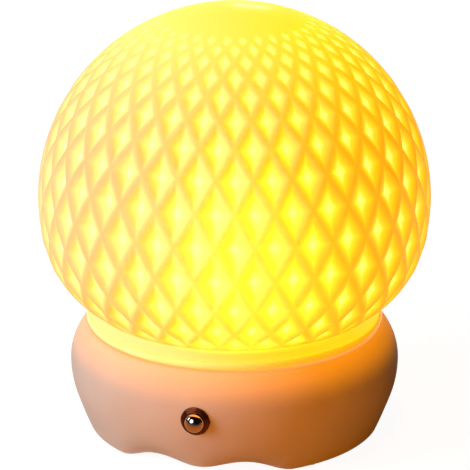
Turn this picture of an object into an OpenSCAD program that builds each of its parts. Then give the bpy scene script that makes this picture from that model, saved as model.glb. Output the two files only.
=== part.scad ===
// Bedside night lamp: an opal globe with a diamond lattice on a squat base with a lobed hem.
// Millimetres. The origin is on the table under the middle of the lamp, +Z is up,
// and the push-button faces -Y. Angles round the lamp are counted from the button towards +X.

/* [Shade] */
// Radius of the globe over its ribs
globe_r = 80; // [74:0.5:86]
// Radius of the curve that draws the globe in to its neck
belly_arc = 43; // [38:0.5:46]
// Angle below the equator at which that curve starts
belly_lat = 11; // [6:1:16]
// Thickness of the shade's wall
shade_wall = 2.4; // [2:0.1:3]
// Diamond cells in one turn of the shade
cells_round = 32; // [24:4:40]
// Rows of diamond cells from the neck to the cap
cell_rows = 14; // [10:1:14]
// Height of one row as a share of the shade's radius there
cell_pitch = 0.17; // [0.14:0.005:0.18]
// Depth of a cell at the equator
cell_depth = 1.4; // [0.6:0.1:1.6]
// Turn of the lattice from the front
cell_phase = 1.75; // [0:0.25:11]

/* [Shade ring] */
// Step from the base's rim in to the foot of the neck
neck_step = 1.2; // [0.8:0.1:2]
// Depth of the cove above the neck's foot
cove_in = 1; // [0.5:0.1:1.5]
// Height of the cove
cove_h = 5; // [4:0.5:8]
// Height of the bead
bead_h = 3.2; // [2.4:0.1:4.4]
// Height of the spigot inside the neck
spigot_h = 3; // [2:0.5:4]
// Wall of the bayonet sleeve
sleeve_wall = 2.4; // [1.8:0.1:3]
// Depth of the sleeve below the bead
sleeve_h = 9.8; // [8:0.2:10.4]
// Height of a bayonet lug
lug_h = 2.5; // [1.6:0.1:3.2]
// Width of a bayonet lug, in degrees of the turn
lug_a = 9; // [6:0.5:12]
// Turn of the shade from locked to free
twist = 25; // [15:1:40]
// Thickness of the ring of silicone under the bead
gasket_t = 0.7; // [0.5:0.1:1.2]

/* [Base] */
// Widest radius of the base
base_r = 68.2; // [66:0.1:74]
// Height of the base's rim above the table
base_h = 44; // [44:0.5:50]
// Height from the widest level up to the rim
shoulder_drop = 16.5; // [15.5:0.5:17.5]
// Radius of the shoulder's curve
shoulder_arc = 23; // [20:0.5:30]
// Radius of the curve below the widest level
flank_arc = 39.5; // [36:0.5:54]
// Thickness of the base's wall
base_wall = 2.4; // [2:0.1:3]
// Thickness of the hem
hem_wall = 5; // [3.6:0.1:5.6]
// Broad feet round the hem, with a small lobe between two arches from each foot to the next
feet = 3; // [2:1:4]
// Half of the turn that a lobe takes with its two arches
lobe_half = 36; // [30:1:40]
// Wave of the lobe and its arches at the table
lobe_flare = 2.8; // [0:0.1:3.2]
// Flare of the feet at the table
foot_flare = 3.4; // [0:0.1:4]
// Height at which the flare has died away
flare_h = 15; // [14:0.5:18]
// Height of the arches beside a lobe
arch_h = 3.8; // [2:0.1:5.5]
// Lift of the lobes that stay clear of the table
lobe_lift = 2.8; // [0:0.1:3]
// Thickness of the pads under the feet
pad_t = 0.6; // [0.6:0.1:1.2]
// Radius of the pads under the feet
pad_r = 1.2; // [0.8:0.1:1.2]
// Height of the bottom cover above the table
plate_z = 8.5; // [8:0.1:9]
// Thickness of the bottom cover
plate_t = 2.5; // [2:0.1:3]

/* [Deck] */
// Thickness of the deck's floor
deck_t = 2; // [1.6:0.1:2.6]
// Thickness of the deck's cup wall
deck_wall = 2.1; // [1.8:0.1:2.6]
// Thickness of the deck's flange
flange_t = 1.6; // [1.2:0.1:2.2]
// Radius of the four screw posts
post_r = 4; // [3.4:0.1:5]
// Distance of the posts from the middle, along X and along Y
post_at = 31; // [29:0.5:32]
// Radius of the round board that carries the diodes
led_board_r = 26; // [25:0.5:30]
// Thickness of both circuit boards
board_t = 1.6; // [1:0.1:2]
// Radius of the opal thimble over the diodes
diffuser_r = 17; // [15:0.5:17]
// Height of the opal thimble
diffuser_h = 76; // [60:1:80]
// Wall of the opal thimble
diffuser_wall = 1.4; // [1:0.1:2]

/* [Push-button] */
// Radius of the dome
dome_r = 3.95; // [3.5:0.05:4]
// Radius of the bezel
bezel_r = 5.75; // [5.5:0.05:6.5]
// Height of the bezel
bezel_t = 2; // [1.5:0.1:2.5]
// Radius of the threaded barrel
barrel_r = 4.95; // [4.85:0.05:5.2]
// Length of the barrel behind the wall's face
barrel_len = 17; // [16.8:0.2:20]
// Travel of the button
press = 2; // [1:0.1:2.2]
// Thickness of the wall where the button sits
panel_t = 3.4; // [3:0.1:4]
// Width of the nut across its flats
nut_flats = 13; // [12.6:0.1:13.6]
// Thickness of the nut
nut_t = 2.5; // [2:0.1:3]

/* [Power] */
// Diameter of the cell
cell_d = 14.2; // [13:0.1:15.5]
// Length of the cell
cell_len = 50; // [46:0.5:54]
// Wall of the cell's tray
tray_wall = 1.5; // [1.2:0.1:2]
// Width of the control board
board_w = 24; // [23:0.5:28]
// Length of the control board
board_l = 38; // [36:0.5:40]
// Height of the control board above the bottom cover
standoff_h = 4; // [3:0.1:5]
// Width of the opening for the charging plug
window_w = 12.4; // [11.6:0.1:14]
// Height of the opening for the charging plug
window_h = 6.6; // [6:0.1:7]
// Diameter of a lead
lead_d = 1.2; // [0.8:0.1:1.4]

/* [Hidden] */
$fn = 96;
eps = 0.01;
through = 20;

// Clearances that the whole lamp shares
fit_gap = 0.3;
run_gap = 0.05;
turn_gap = 0.1;
screw_gap = 0.1;
solder_gap = 0.15;

// The base's outline: two arcs that meet at the widest level
waist_z = base_h - shoulder_drop;
function wall_r(z) = z > waist_z
    ? base_r - shoulder_arc + sqrt(pow(shoulder_arc, 2) - pow(z - waist_z, 2))
    : base_r - flank_arc + sqrt(pow(flank_arc, 2) - pow(waist_z - z, 2));
function fade(z) = pow(max(0, 1 - z / flare_h), 2);

// The hem's wave: 0 in the middle of a lobe to 1 on a foot, and what that share gives
function lobe_share(a) = min(1, abs((a + 180 / feet) % (360 / feet) - 180 / feet) / lobe_half);
function ease(t) = t * t * (3 - 2 * t);
function wave(w) = lobe_flare * cos(360 * w) + (foot_flare - lobe_flare) * ease(max(0, 2 * w - 1));
function lift(w) = arch_h * (1 - cos(360 * w)) / 2 + lobe_lift * (1 + cos(180 * w)) / 2;
function hem_z(a) = pad_t + lift(lobe_share(a));
function skin_r(z, a) = wall_r(z) + wave(lobe_share(a)) * fade(z);
function around(r, z, a) = [r * sin(a), -r * cos(a), z];

// Radii of the rim, from the outside inwards
rim_r = wall_r(base_h);
rim_lip = 2.4;
land_w = 2.6;
rabbet_r = rim_r - rim_lip;
flange_r = rabbet_r - fit_gap;
bore_r = rabbet_r - land_w;
cup_r = bore_r - fit_gap;
cup_in_r = cup_r - deck_wall;
sleeve_r = cup_in_r - fit_gap - turn_gap;
sleeve_in_r = sleeve_r - sleeve_wall;
lug_r = cup_r - fit_gap;
land_h = 2.4;
lip_h = flange_t + land_h;
lip_slope = 2.5;
gasket_in = 0.6;

// Bottom cover and its ledge
plate_top = plate_z + plate_t;
plate_r = wall_r(plate_z) - lobe_flare * fade(plate_z) - hem_wall - fit_gap;
ledge_w = 4;
ledge_t = 2.5;
ledge_r = plate_r - ledge_w;

// Levels of the bayonet and of the deck
bead_z = base_h + gasket_t + turn_gap;
bead_top = bead_z + bead_h;
sleeve_z = bead_z - sleeve_h;
lug_lift = 1.5;
lug_z = sleeve_z + lug_lift;
lug_count = 3;
lug_start = 60;
lug_play_a = 0.6;
entry_play_a = 1.2;
sleeve_clear = 1.4;
deck_top = sleeve_z - sleeve_clear;
deck_under = deck_top - deck_t;

// The shade's outline: a sphere, and an arc that draws it in to the neck
shade_points = 2 * cells_round;
neck_r = rim_r - neck_step;
waist_r = neck_r - cove_in;
neck_in_r = waist_r - shade_wall;
spigot_r = neck_in_r * cos(180 / shade_points) - fit_gap;
belly_cr = (globe_r - belly_arc) * cos(belly_lat);
belly_cz = -(globe_r - belly_arc) * sin(belly_lat);
belly_end = -acos((waist_r - belly_cr) / belly_arc);
edge_z = bead_top + cove_h;
globe_z = edge_z - belly_cz - belly_arc * sin(belly_end);

// A step along the outline over the radius there keeps every diamond square to its neighbours
march_steps = 16;
edge_share = 0.48;
function belly_r(a) = belly_cr + belly_arc * cos(a);
function belly_step(n) = (-belly_lat - belly_end) / n;
function belly_turns(n) = [for (k = [0:n - 1]) 1 / belly_r(belly_end + (k + 0.5) * belly_step(n))];
function total(list, k = 0) = k < len(list) ? list[k] + total(list, k + 1) : 0;
belly_span = total(belly_turns(march_steps)) * belly_arc * belly_step(march_steps) * PI / 180;
function climb(a, step, n) = n == 0 ? a : climb(climb_once(a, step), step, n - 1);
function climb_once(a, step) = a + climb_turn(a + climb_turn(a, step) / 2, step);
function climb_turn(a, step) = step * belly_r(a) / belly_arc * 180 / PI;
sphere_start = ln(tan(45 - belly_lat / 2));
function sphere_lat(q) = 2 * atan(exp(sphere_start + q - belly_span)) - 90;

// One ring of the outline: radius, height, and the angle at which the surface faces out
function belly_ring(a, in) = [belly_cr + (belly_arc - in) * cos(a),
    globe_z + belly_cz + (belly_arc - in) * sin(a), a];
function sphere_ring(a, in) = [(globe_r - in) * cos(a), globe_z + (globe_r - in) * sin(a), a];
function ring_at(q) = q < belly_span
    ? belly_ring(climb(belly_end, q / march_steps, march_steps), 0)
    : sphere_ring(sphere_lat(q), 0);

// Circuit boards, cell and charging inlet
led_z = deck_top + board_t;
diffuser_flange_w = 5.5;
diffuser_flange_r = diffuser_r + diffuser_flange_w;
diffuser_flange_t = 1.5;
led_screw_in = 2.8;
led_screw_r = diffuser_r + led_screw_in;
led_screw_tail = 1.2;
led_screw_start = 30;
led_screw_count = 3;
led_boss_r = 2.6;
led_boss_h = 1.8;
led_ring_r = 9;
led_count = 8;
screw_r = 1.2;
screw_head_r = 2.2;
screw_head_t = 1.4;
plate_screw_r = 1.5;
plate_screw_head_r = 2.9;
plate_screw_len = 12;
blind_floor = 1;
screw_end_gap = 0.4;
tray_head_t = 0.9;
tray_blind_floor = 0.8;
tray_screw_z = plate_z + blind_floor;
tray_y = -4;
contact_t = 0.6;
contact_bow = 1.2;
tray_in_l = cell_len + 2 * (contact_t + contact_bow);
tray_in_w = cell_d + 2 * fit_gap;
tray_l = tray_in_l + 2 * tray_wall;
tray_w = tray_in_w + 2 * tray_wall;
tray_share = 0.7;
tray_h = tray_wall + tray_share * cell_d;
tray_seat_t = 0.3;
tray_screw_x = cell_len / 3;
cell_z = plate_top + tray_wall + turn_gap + cell_d / 2;
tag_h = 3;
tag_w = 4;
tag_t = 2;
contact_r = 2.4;
nipple_r = 3;
nipple_h = 1;
board_z = plate_top + standoff_h;
board_top = board_z + board_t;
usb_w = 8.94;
usb_h = 3.26;
usb_l = 7.3;
usb_wall = 0.3;
usb_z = board_top + usb_h / 2;
usb_back = 0.9;
usb_over = 1.6;
usb_tail = 1;
tongue = [6.7, 5, 0.7];
usb_mouth = skin_r(usb_z, 180) - base_wall - usb_back;
board_rear = usb_mouth - usb_over;
board_front = board_rear - board_l;
standoff_r = 2.8;
standoff_side_in = 3;
standoff_rear_in = 12.4;
standoff_front_in = 4.6;
standoff_x = board_w / 2 - standoff_side_in;
standoff_rear = board_rear - standoff_rear_in;
standoff_front = board_front + standoff_front_in;
mcu = [7, 7, 1.2];
mcu_in = 6.5;
coil = [6, 6, 3];
coil_x = -9.5;
coil_in = 22.5;
resistor = [5, 1.2, 0.8];
resistor_x = 3;
resistor_in = 10;
capacitor_r = 2.5;
capacitor_h = 6;
capacitor_x = 7.5;
capacitor_in = 20;

// The push-button, by distance behind the flat that its bezel sits on
switch_drop = 1.5;
washer_w = 1;
washer_r = nut_flats / 2 + washer_w;
switch_z = max(waist_z - switch_drop, plate_top + ledge_t + washer_r + fit_gap);
spot_face = 0.6;
panel_y = -(base_r - spot_face);
seal_t = 0.3;
bezel_front = -seal_t - bezel_t;
hole_gap = 0.15;
hole_r = barrel_r + hole_gap;
spot_r = bezel_r + fit_gap;
boss_rim = 1.5;
boss_bury = 0.6;
boss_r = nut_flats / 2 + boss_rim;
bezel_shares = [0.35, 0.675, 1];
bezel_step = 0.5;
dome_bore_r = dome_r + run_gap;
catch_w = 0.3;
dome_flange_r = dome_r + catch_w;
wide_bore_r = dome_flange_r + run_gap;
catch_at = 2.1;
dome_flange_at = catch_at + run_gap;
dome_flange_t = 1;
stem_r = 2;
web_t = 1;
spring_len = 5.25;
web_at = dome_flange_at + dome_flange_t + spring_len;
bridge_clear = 0.6;
bridge_at = web_at + web_t + bridge_clear + press;
bridge_t = 0.8;
bridge_r = wide_bore_r - fit_gap;
contact_play = 0.2;
terminal_at = bridge_at + bridge_t + press + contact_play;
terminal_head_t = 0.3;
insulator_at = terminal_at + terminal_head_t;
plug_flange_t = 1;
terminal_tail = 3;
terminal_end = barrel_len + plug_flange_t + terminal_tail;
terminal_x = 1.8;
terminal_r = 0.6;
terminal_head_r = 1.2;
washer_t = 0.6;
spring_r = 3.05;
spring_wire_r = 0.25;
spring_turns = 5;

// Routes of the leads, with their ends tied to the terminals and pads that they join
grommet_in = 15.85;
grommet_y = cup_in_r - grommet_in;
grommet_r = 4;
grommet_bore_r = 2;
grommet_lip = 0.9;
grommet_groove = 1;
led_pad_in = 1.8;
led_pad_y = led_board_r - led_pad_in;
lead_x = 0.9;
switch_pad_in = 9;
switch_pad_step = 3;
cell_pad_in = 2.6;
switch_pad_y = board_front + switch_pad_in;
cell_pad_y = board_front + cell_pad_in;
pad_lead_z = board_top + lead_d / 2 + solder_gap;
function led_route(x) = [
    [x, grommet_y + 2, board_top + solder_gap], [x, grommet_y + 1, board_top + 4],
    [x, grommet_y, deck_under - 2], [x, grommet_y, deck_top + 1.5], [x, grommet_y - 2, led_z + 2.4],
    [x, mix(grommet_y - 2, led_pad_y + 1, 0.4), led_z + 3], [x, led_pad_y + 1, led_z + 1.6],
    [x, led_pad_y, led_z + solder_gap]];
function switch_route(k) = let (
        x = (2 * k - 1) * terminal_x, y = panel_y + terminal_end,
        pad = switch_pad_y + switch_pad_step * k) [
    [x, y + solder_gap, switch_z], [x, y + 3, switch_z], [x + 1.2, y + 6.5, switch_z - 1],
    [5.5 + 5 * k, -34 - 2 * k, 21], [13 + 6 * k, -28 - 4.5 * k, 19], [24 + k, -20.5 - 3.5 * k, 18],
    [33 + 3 * k, -14 - 2 * k, 17.5], [38.5 + 3 * k, -4, 17], [36.5 + 3 * k, 9 + 2 * k, 17.5],
    [30, 15 + 3.5 * k, 18.5], [21, 21 + 3.5 * k, 19], [standoff_x + 5.5, pad - 3, board_top + 2.2],
    [standoff_x + 2.5, pad - 0.3, pad_lead_z + 0.4], [standoff_x - 1, pad, pad_lead_z]];
function cell_route(s) = let (x = tray_l / 2 + tag_h) [
    [s * (x + solder_gap), tray_y, cell_z], [s * (x + 1.8), tray_y, cell_z],
    [s * (x + 2.8), tray_y + 2.5, cell_z], [s * (x + 2.4), tray_y + 7, cell_z - 0.5],
    [s * (x + 0.4), 9, cell_z - 1],
    [s * 26, 13.5, cell_z - 1], [s * 19, 16.5, 18.5], [s * 12, 18.5, 19], [s * 7, 21.5, board_top + 2.5],
    [s * 5, cell_pad_y - 2.4, board_top + 1.6], [s * 4.4, cell_pad_y - 0.4, pad_lead_z + 0.2],
    [s * 4, cell_pad_y + 2, pad_lead_z]];

// Shared shapes
function band(a, b, n, odd) = [for (j = [0:n - 1])
    let (k = (j + 1) % n, p = a * n + j, q = a * n + k, r = b * n + j, s = b * n + k)
    each (j + odd) % 2 == 0 ? [[p, r, q], [r, s, q]] : [[p, r, s], [p, s, q]]];

function mix(a, b, t) = a + (b - a) * t;
function unit(v) = v / norm(v);

// A smooth curve through hand-picked points, with some steps between each pair
function spline_point(p0, p1, p2, p3, t) = 0.5 * (2 * p1 + (p2 - p0) * t
    + (2 * p0 - 5 * p1 + 4 * p2 - p3) * t * t + (3 * p1 - p0 - 3 * p2 + p3) * t * t * t);
function smooth_route(p, steps) = let (n = len(p) - 1) [
    for (i = [0:n - 1], k = [0:steps - 1])
        spline_point(p[max(i - 1, 0)], p[i], p[i + 1], p[min(i + 2, n)], k / steps),
    p[n]];

// A tube along a curve; side is a direction that the curve never follows
module tube(path, r, sides, side) {
    n = len(path);
    points = [for (i = [0:n - 1])
        let (t = unit(path[min(i + 1, n - 1)] - path[max(i - 1, 0)]), u = unit(cross(t, side)),
            v = cross(t, u))
        for (k = [0:sides - 1]) path[i] + r * (cos(360 * k / sides) * u + sin(360 * k / sides) * v)];
    walls = [for (i = [0:n - 2]) each band(i, i + 1, sides, 0)];
    ends = [[for (k = [0:sides - 1]) k], [for (k = [sides - 1:-1:0]) (n - 1) * sides + k]];
    polyhedron(points, concat(walls, ends), convexity = 8);
}

module ring(r_out, r_in, h) {
    difference() {
        cylinder(r = r_out, h = h);
        translate([0, 0, -eps]) cylinder(r = r_in, h = h + 2 * eps);
    }
}

module sector(r_in, r_out, h, from_a, to_a) {
    rotate([0, 0, from_a]) rotate_extrude(angle = to_a - from_a)
        translate([r_in, 0]) square([r_out - r_in, h]);
}

module at_led_screws() {
    for (k = [0:led_screw_count - 1]) rotate([0, 0, led_screw_start + 360 * k / led_screw_count])
        translate([led_screw_r, 0, 0]) children();
}

module four_corners(x, y) {
    for (sx = [-1, 1], sy = [-1, 1]) translate([sx * x, sy * y, 0]) children();
}

// The button's own axis: +Z runs inwards from the flat under the bezel
module on_button_axis() {
    translate([0, panel_y, switch_z]) rotate([-90, 0, 0]) children();
}

module stadium(w, h, length) {
    r = h / 2;
    rotate([-90, 0, 0]) {
        for (s = [-1, 1]) translate([s * (w / 2 - r), 0, 0]) cylinder(r = r, h = length, $fn = 48);
        translate([-(w / 2 - r), -r, 0]) cube([w - h, h, length]);
    }
}

// Base
hem_round = 0.8;
pad_spread = 15;
shell_sides = 120;
outer_steps = [0, 0.07, 0.15, 0.24, 0.34, 0.45, 0.56, 0.67, 0.78, 0.89, 1];
inner_steps = [0, 0.2, 0.4, 0.6, 0.8, 1];

function outer_profile(a) = let (low = hem_z(a) + hem_round) [
    for (t = outer_steps) let (z = mix(low, base_h, t)) [skin_r(z, a), z]];
function rim_profile() = [
    [rabbet_r, base_h], [rabbet_r, base_h - flange_t], [bore_r, base_h - flange_t], [bore_r, base_h - lip_h]];
function inner_profile(a) = let (high = base_h - lip_h - lip_slope, low = plate_top + ledge_t) [
    for (t = inner_steps) let (z = mix(high, low, t)) [skin_r(z, a) - base_wall, z]];
function foot_profile(a) = let (h = hem_z(a), r = skin_r(h + hem_round, a)) [
    [ledge_r, plate_top + ledge_t], [ledge_r, plate_top], [skin_r(plate_top, a) - base_wall, plate_top],
    [r - hem_wall, h + hem_round], [r - hem_wall + hem_round, h], [r - hem_round, h]];
function shell_profile(a) = concat(outer_profile(a), rim_profile(), inner_profile(a), foot_profile(a));

module shell_body() {
    profiles = [for (j = [0:shell_sides - 1]) shell_profile(360 * j / shell_sides)];
    m = len(profiles[0]);
    points = [for (k = [0:m - 1], j = [0:shell_sides - 1])
        around(profiles[j][k][0], profiles[j][k][1], 360 * j / shell_sides)];
    polyhedron(points, [for (k = [0:m - 1]) each band(k, (k + 1) % m, shell_sides, 0)], convexity = 8);
}

module base_shell() color("#dcae97") difference() {
    union() {
        shell_body();
        on_button_axis() translate([0, 0, boss_bury]) cylinder(r = boss_r, h = panel_t - boss_bury);
    }
    on_button_axis() translate([0, 0, -through]) cylinder(r = spot_r, h = through);
    on_button_axis() translate([0, 0, -through / 2]) cylinder(r = hole_r, h = through);
    translate([0, usb_mouth - usb_over, usb_z]) stadium(window_w, window_h, through);
}

module hem_pads() color("#e8e2da") {
    for (k = [0:feet - 1], side = [-1, 1]) {
        a = (2 * k + 1) * 180 / feet + side * pad_spread;
        r = skin_r(pad_t + hem_round, a) - hem_wall / 2;
        translate(around(r, 0, a)) cylinder(r = pad_r, h = pad_t);
    }
}

module base_plate() color("#d9d3cb") difference() {
    union() {
        translate([0, 0, plate_z]) cylinder(r = plate_r, h = plate_t);
        for (x = [-1, 1] * standoff_x, y = [standoff_front, standoff_rear])
            translate([x, y, plate_z]) cylinder(r = standoff_r, h = board_z - plate_z);
    }
    four_corners(post_at, post_at) translate([0, 0, plate_z - eps]) {
        cylinder(r = plate_screw_r + screw_gap, h = plate_t + 2 * eps);
        cylinder(r1 = plate_screw_head_r + screw_gap, r2 = plate_screw_r + screw_gap, h = screw_head_t);
    }
    for (x = [-1, 1] * standoff_x, y = [standoff_front, standoff_rear])
        translate([x, y, plate_z + blind_floor]) cylinder(r = screw_r + screw_gap, h = through);
    for (x = [-1, 1] * tray_screw_x)
        translate([x, tray_y, plate_z + tray_blind_floor]) cylinder(r = screw_r + screw_gap, h = plate_t);
}

module plate_screws() color("#b9bcc0") four_corners(post_at, post_at) translate([0, 0, plate_z]) {
    cylinder(r1 = plate_screw_head_r, r2 = plate_screw_r, h = screw_head_t);
    cylinder(r = plate_screw_r, h = plate_screw_len);
}

// Deck that closes the base and takes the shade's bayonet
module bayonet_slots() {
    run = lug_a / 2 + lug_play_a;
    entry = lug_a / 2 + entry_play_a;
    in = cup_in_r - fit_gap;
    for (k = [0:lug_count - 1]) {
        at = lug_start + 360 * k / lug_count;
        translate([0, 0, lug_z - fit_gap])
            sector(in, cup_r + fit_gap, lug_h + 2 * fit_gap, at - run, at + twist + run);
        translate([0, 0, lug_z + lug_h / 2])
            sector(in - fit_gap, cup_r + 2 * fit_gap, through, at + twist - entry, at + twist + entry);
    }
}

module lamp_deck() color("#f3efe6") difference() {
    union() {
        translate([0, 0, deck_under]) cylinder(r = cup_r, h = base_h - deck_under);
        translate([0, 0, base_h - flange_t]) cylinder(r = flange_r, h = flange_t);
        four_corners(post_at, post_at)
            translate([0, 0, plate_top]) cylinder(r = post_r, h = deck_under - plate_top + eps);
        at_led_screws() translate([0, 0, deck_under - led_boss_h])
            cylinder(r = led_boss_r, h = led_boss_h + eps);
    }
    translate([0, 0, deck_top]) cylinder(r = cup_in_r, h = through);
    bayonet_slots();
    four_corners(post_at, post_at) translate([0, 0, plate_top - eps])
        cylinder(r = plate_screw_r + screw_gap, h = plate_screw_len);
    at_led_screws() translate([0, 0, deck_under - through / 2])
        cylinder(r = screw_r + screw_gap, h = through);
    translate([0, grommet_y, deck_under - eps])
        cylinder(r = grommet_r - grommet_groove + run_gap, h = deck_t + 2 * eps);
}

module shade_gasket() color("#efe9df") translate([0, 0, base_h])
    ring(rim_r - gasket_in, cup_r + gasket_in, gasket_t);

// Shade
inner_lats = [80, 66, 52, 38, 24, 10];
inner_belly = [0, 0.33, 0.66, 0.88];
cap_shares = [0.25, 0.5, 0.75];
cove_share = 0.7;

// A point of a ring, sunk by the depth of a cell where the ring has cells and the point is a cell's middle
function point_a(j) = cell_phase + 360 * j / shade_points;
function sunk(g, d, j) = around(g[0] - d * cos(g[2]), g[1] - d * sin(g[2]), point_a(j));
function has_cell(row, j) = row >= 0 && row < cell_rows && (j + row) % 2 == 0;
function cell_sink(g, row, j) = has_cell(row, j) ? cell_depth * g[0] / globe_r : 0;

module shade_globe() color("#ffe59a") {
    n = shade_points;
    row_q = [for (i = [0:cell_rows]) (edge_share + i) * cell_pitch];
    cap_lat = sphere_lat(row_q[cell_rows]);
    cove_r = mix(neck_r, waist_r, cove_share);
    low = [[neck_r, bead_top, 0], [cove_r, bead_top + cove_h / 2, 0], [waist_r, edge_z, 0]];
    rows = [for (q = row_q) ring_at(q)];
    cap = [for (t = cap_shares) sphere_ring(mix(cap_lat, 90, t), 0)];
    inside = [for (a = inner_lats) sphere_ring(a, shade_wall),
        for (t = inner_belly) belly_ring(mix(-belly_lat, belly_end, t), shade_wall),
        [neck_in_r, edge_z, 0], [neck_in_r, bead_top, 0]];
    outer = concat(low, rows, cap);
    rings = concat(outer, inside);
    m = len(rings);
    top = len(outer) - 1;
    points = concat(
        [for (i = [0:m - 1], j = [0:n - 1]) sunk(rings[i], cell_sink(rings[i], i - len(low), j), j)],
        [[0, 0, globe_z + globe_r], [0, 0, globe_z + globe_r - shade_wall]]);
    walls = [for (i = [0:m - 1]) if (i != top) each band(i, (i + 1) % m, n, i + 1)];
    crown = [for (j = [0:n - 1]) [top * n + j, m * n, top * n + (j + 1) % n]];
    ceiling = [for (j = [0:n - 1]) [m * n + 1, (top + 1) * n + j, (top + 1) * n + (j + 1) % n]];
    polyhedron(points, concat(walls, crown, ceiling), convexity = 8);
}

module shade_ring() color("#fff0c2") {
    bead_round = bead_h / 2;
    rotate_extrude() {
        polygon([[sleeve_in_r, sleeve_z], [sleeve_r, sleeve_z], [sleeve_r, bead_z],
            [rim_r - bead_round, bead_z], [rim_r - bead_round, bead_top], [spigot_r, bead_top],
            [spigot_r, bead_top + spigot_h], [sleeve_in_r, bead_top + spigot_h]]);
        translate([rim_r - bead_round, bead_z + bead_round]) circle(r = bead_round);
    }
    for (k = [0:lug_count - 1]) {
        at = lug_start + 360 * k / lug_count;
        translate([0, 0, lug_z]) sector(sleeve_r - fit_gap, lug_r, lug_h, at - lug_a / 2, at + lug_a / 2);
    }
}

// Light
module led_board() color("#f5f5f0") difference() {
    translate([0, 0, deck_top]) cylinder(r = led_board_r, h = board_t);
    at_led_screws() translate([0, 0, deck_top - eps])
        cylinder(r = screw_r + screw_gap, h = board_t + 2 * eps);
}

module led_chips() color("#ffd24a") translate([0, 0, led_z]) {
    chip = [3.5, 2.8, 0.8];
    translate([-chip[0] / 2, -chip[1] / 2, 0]) cube(chip);
    for (k = [0:led_count - 1]) rotate([0, 0, 360 * k / led_count])
        translate([led_ring_r - chip[0] / 2, -chip[1] / 2, 0]) cube(chip);
}

module thimble(r, h) {
    cylinder(r = r, h = h - r);
    translate([0, 0, h - r]) sphere(r = r);
}

module led_diffuser() color("#fff6da") translate([0, 0, led_z]) difference() {
    union() {
        thimble(diffuser_r, diffuser_h);
        cylinder(r = diffuser_flange_r, h = diffuser_flange_t);
    }
    translate([0, 0, -eps]) thimble(diffuser_r - diffuser_wall, diffuser_h - diffuser_wall + eps);
    at_led_screws() translate([0, 0, -eps])
        cylinder(r = screw_r + screw_gap, h = diffuser_flange_t + 2 * eps);
}

module led_screws() color("#b9bcc0") at_led_screws() {
    head_z = led_z + diffuser_flange_t;
    tail_z = deck_under - led_screw_tail;
    translate([0, 0, tail_z]) cylinder(r = screw_r, h = head_z - tail_z + eps);
    translate([0, 0, head_z]) cylinder(r = screw_head_r, h = screw_head_t);
}

module lead_grommet() color("#3c3a38") translate([0, grommet_y, 0]) rotate_extrude() {
    groove_r = grommet_r - grommet_groove;
    low = deck_under - grommet_lip;
    high = deck_top + grommet_lip;
    polygon([[grommet_bore_r, low], [grommet_r, low], [grommet_r, deck_under], [groove_r, deck_under],
        [groove_r, deck_top], [grommet_r, deck_top], [grommet_r, high], [grommet_bore_r, high]]);
}

// Push-button
module switch_barrel() color("#8a7466") on_button_axis() difference() {
    union() {
        for (k = [0:len(bezel_shares) - 1]) translate([0, 0, mix(-seal_t, bezel_front, bezel_shares[k])])
            cylinder(r = bezel_r - bezel_step * k, h = bezel_t * bezel_shares[k]);
        translate([0, 0, -seal_t - eps]) cylinder(r = barrel_r, h = barrel_len + seal_t + eps);
    }
    translate([0, 0, bezel_front - eps]) cylinder(r = dome_bore_r, h = catch_at - bezel_front + 2 * eps);
    translate([0, 0, catch_at]) cylinder(r = wide_bore_r, h = web_at - catch_at);
    translate([0, 0, catch_at]) cylinder(r = stem_r + run_gap, h = barrel_len);
    translate([0, 0, web_at + web_t]) cylinder(r = wide_bore_r, h = barrel_len);
}

module switch_seal() color("#2e2c2b") on_button_axis()
    translate([0, 0, -seal_t]) ring(bezel_r, hole_r, seal_t);

module switch_washer() color("#c9ccd0") on_button_axis()
    translate([0, 0, panel_t]) ring(washer_r, hole_r, washer_t);

module switch_nut() color("#b9bcc0") on_button_axis() translate([0, 0, panel_t + washer_t]) difference() {
    cylinder(r = nut_flats / 2 / cos(30), h = nut_t, $fn = 6);
    translate([0, 0, -eps]) cylinder(r = barrel_r + run_gap, h = nut_t + 2 * eps);
}

module switch_spring() color("#c9ccd0") on_button_axis() {
    per_turn = 10;
    low = dome_flange_at + dome_flange_t + spring_wire_r + turn_gap;
    high = web_at - spring_wire_r - turn_gap;
    steps = spring_turns * per_turn;
    turns = [for (i = [0:steps]) let (a = 360 * i / per_turn)
        [spring_r * cos(a), spring_r * sin(a), mix(low, high, i / steps)]];
    tube(turns, spring_wire_r, 6, [0, 0, 1]);
}

module switch_insulator() color("#2e2c2b") on_button_axis() difference() {
    union() {
        translate([0, 0, insulator_at])
            cylinder(r = wide_bore_r - run_gap, h = barrel_len - insulator_at + eps);
        translate([0, 0, barrel_len]) cylinder(r = barrel_r, h = plug_flange_t);
    }
    for (s = [-1, 1]) translate([s * terminal_x, 0, insulator_at - eps])
        cylinder(r = terminal_r + run_gap, h = through);
}

module switch_terminals() color("#c8a04a") on_button_axis()
    for (s = [-1, 1]) translate([s * terminal_x, 0, terminal_at]) {
        cylinder(r = terminal_head_r, h = terminal_head_t);
        cylinder(r = terminal_r, h = terminal_end - terminal_at);
    }

module button_dome() color("#6b564a") on_button_axis() {
    translate([0, 0, bezel_front]) sphere(r = dome_r);
    translate([0, 0, bezel_front]) cylinder(r = dome_r, h = dome_flange_at - bezel_front + eps);
    translate([0, 0, dome_flange_at]) cylinder(r = dome_flange_r, h = dome_flange_t);
    translate([0, 0, dome_flange_at]) cylinder(r = stem_r, h = bridge_at - dome_flange_at);
}

module contact_bridge() color("#c8a04a") on_button_axis()
    translate([0, 0, bridge_at]) cylinder(r = bridge_r, h = bridge_t);

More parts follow.
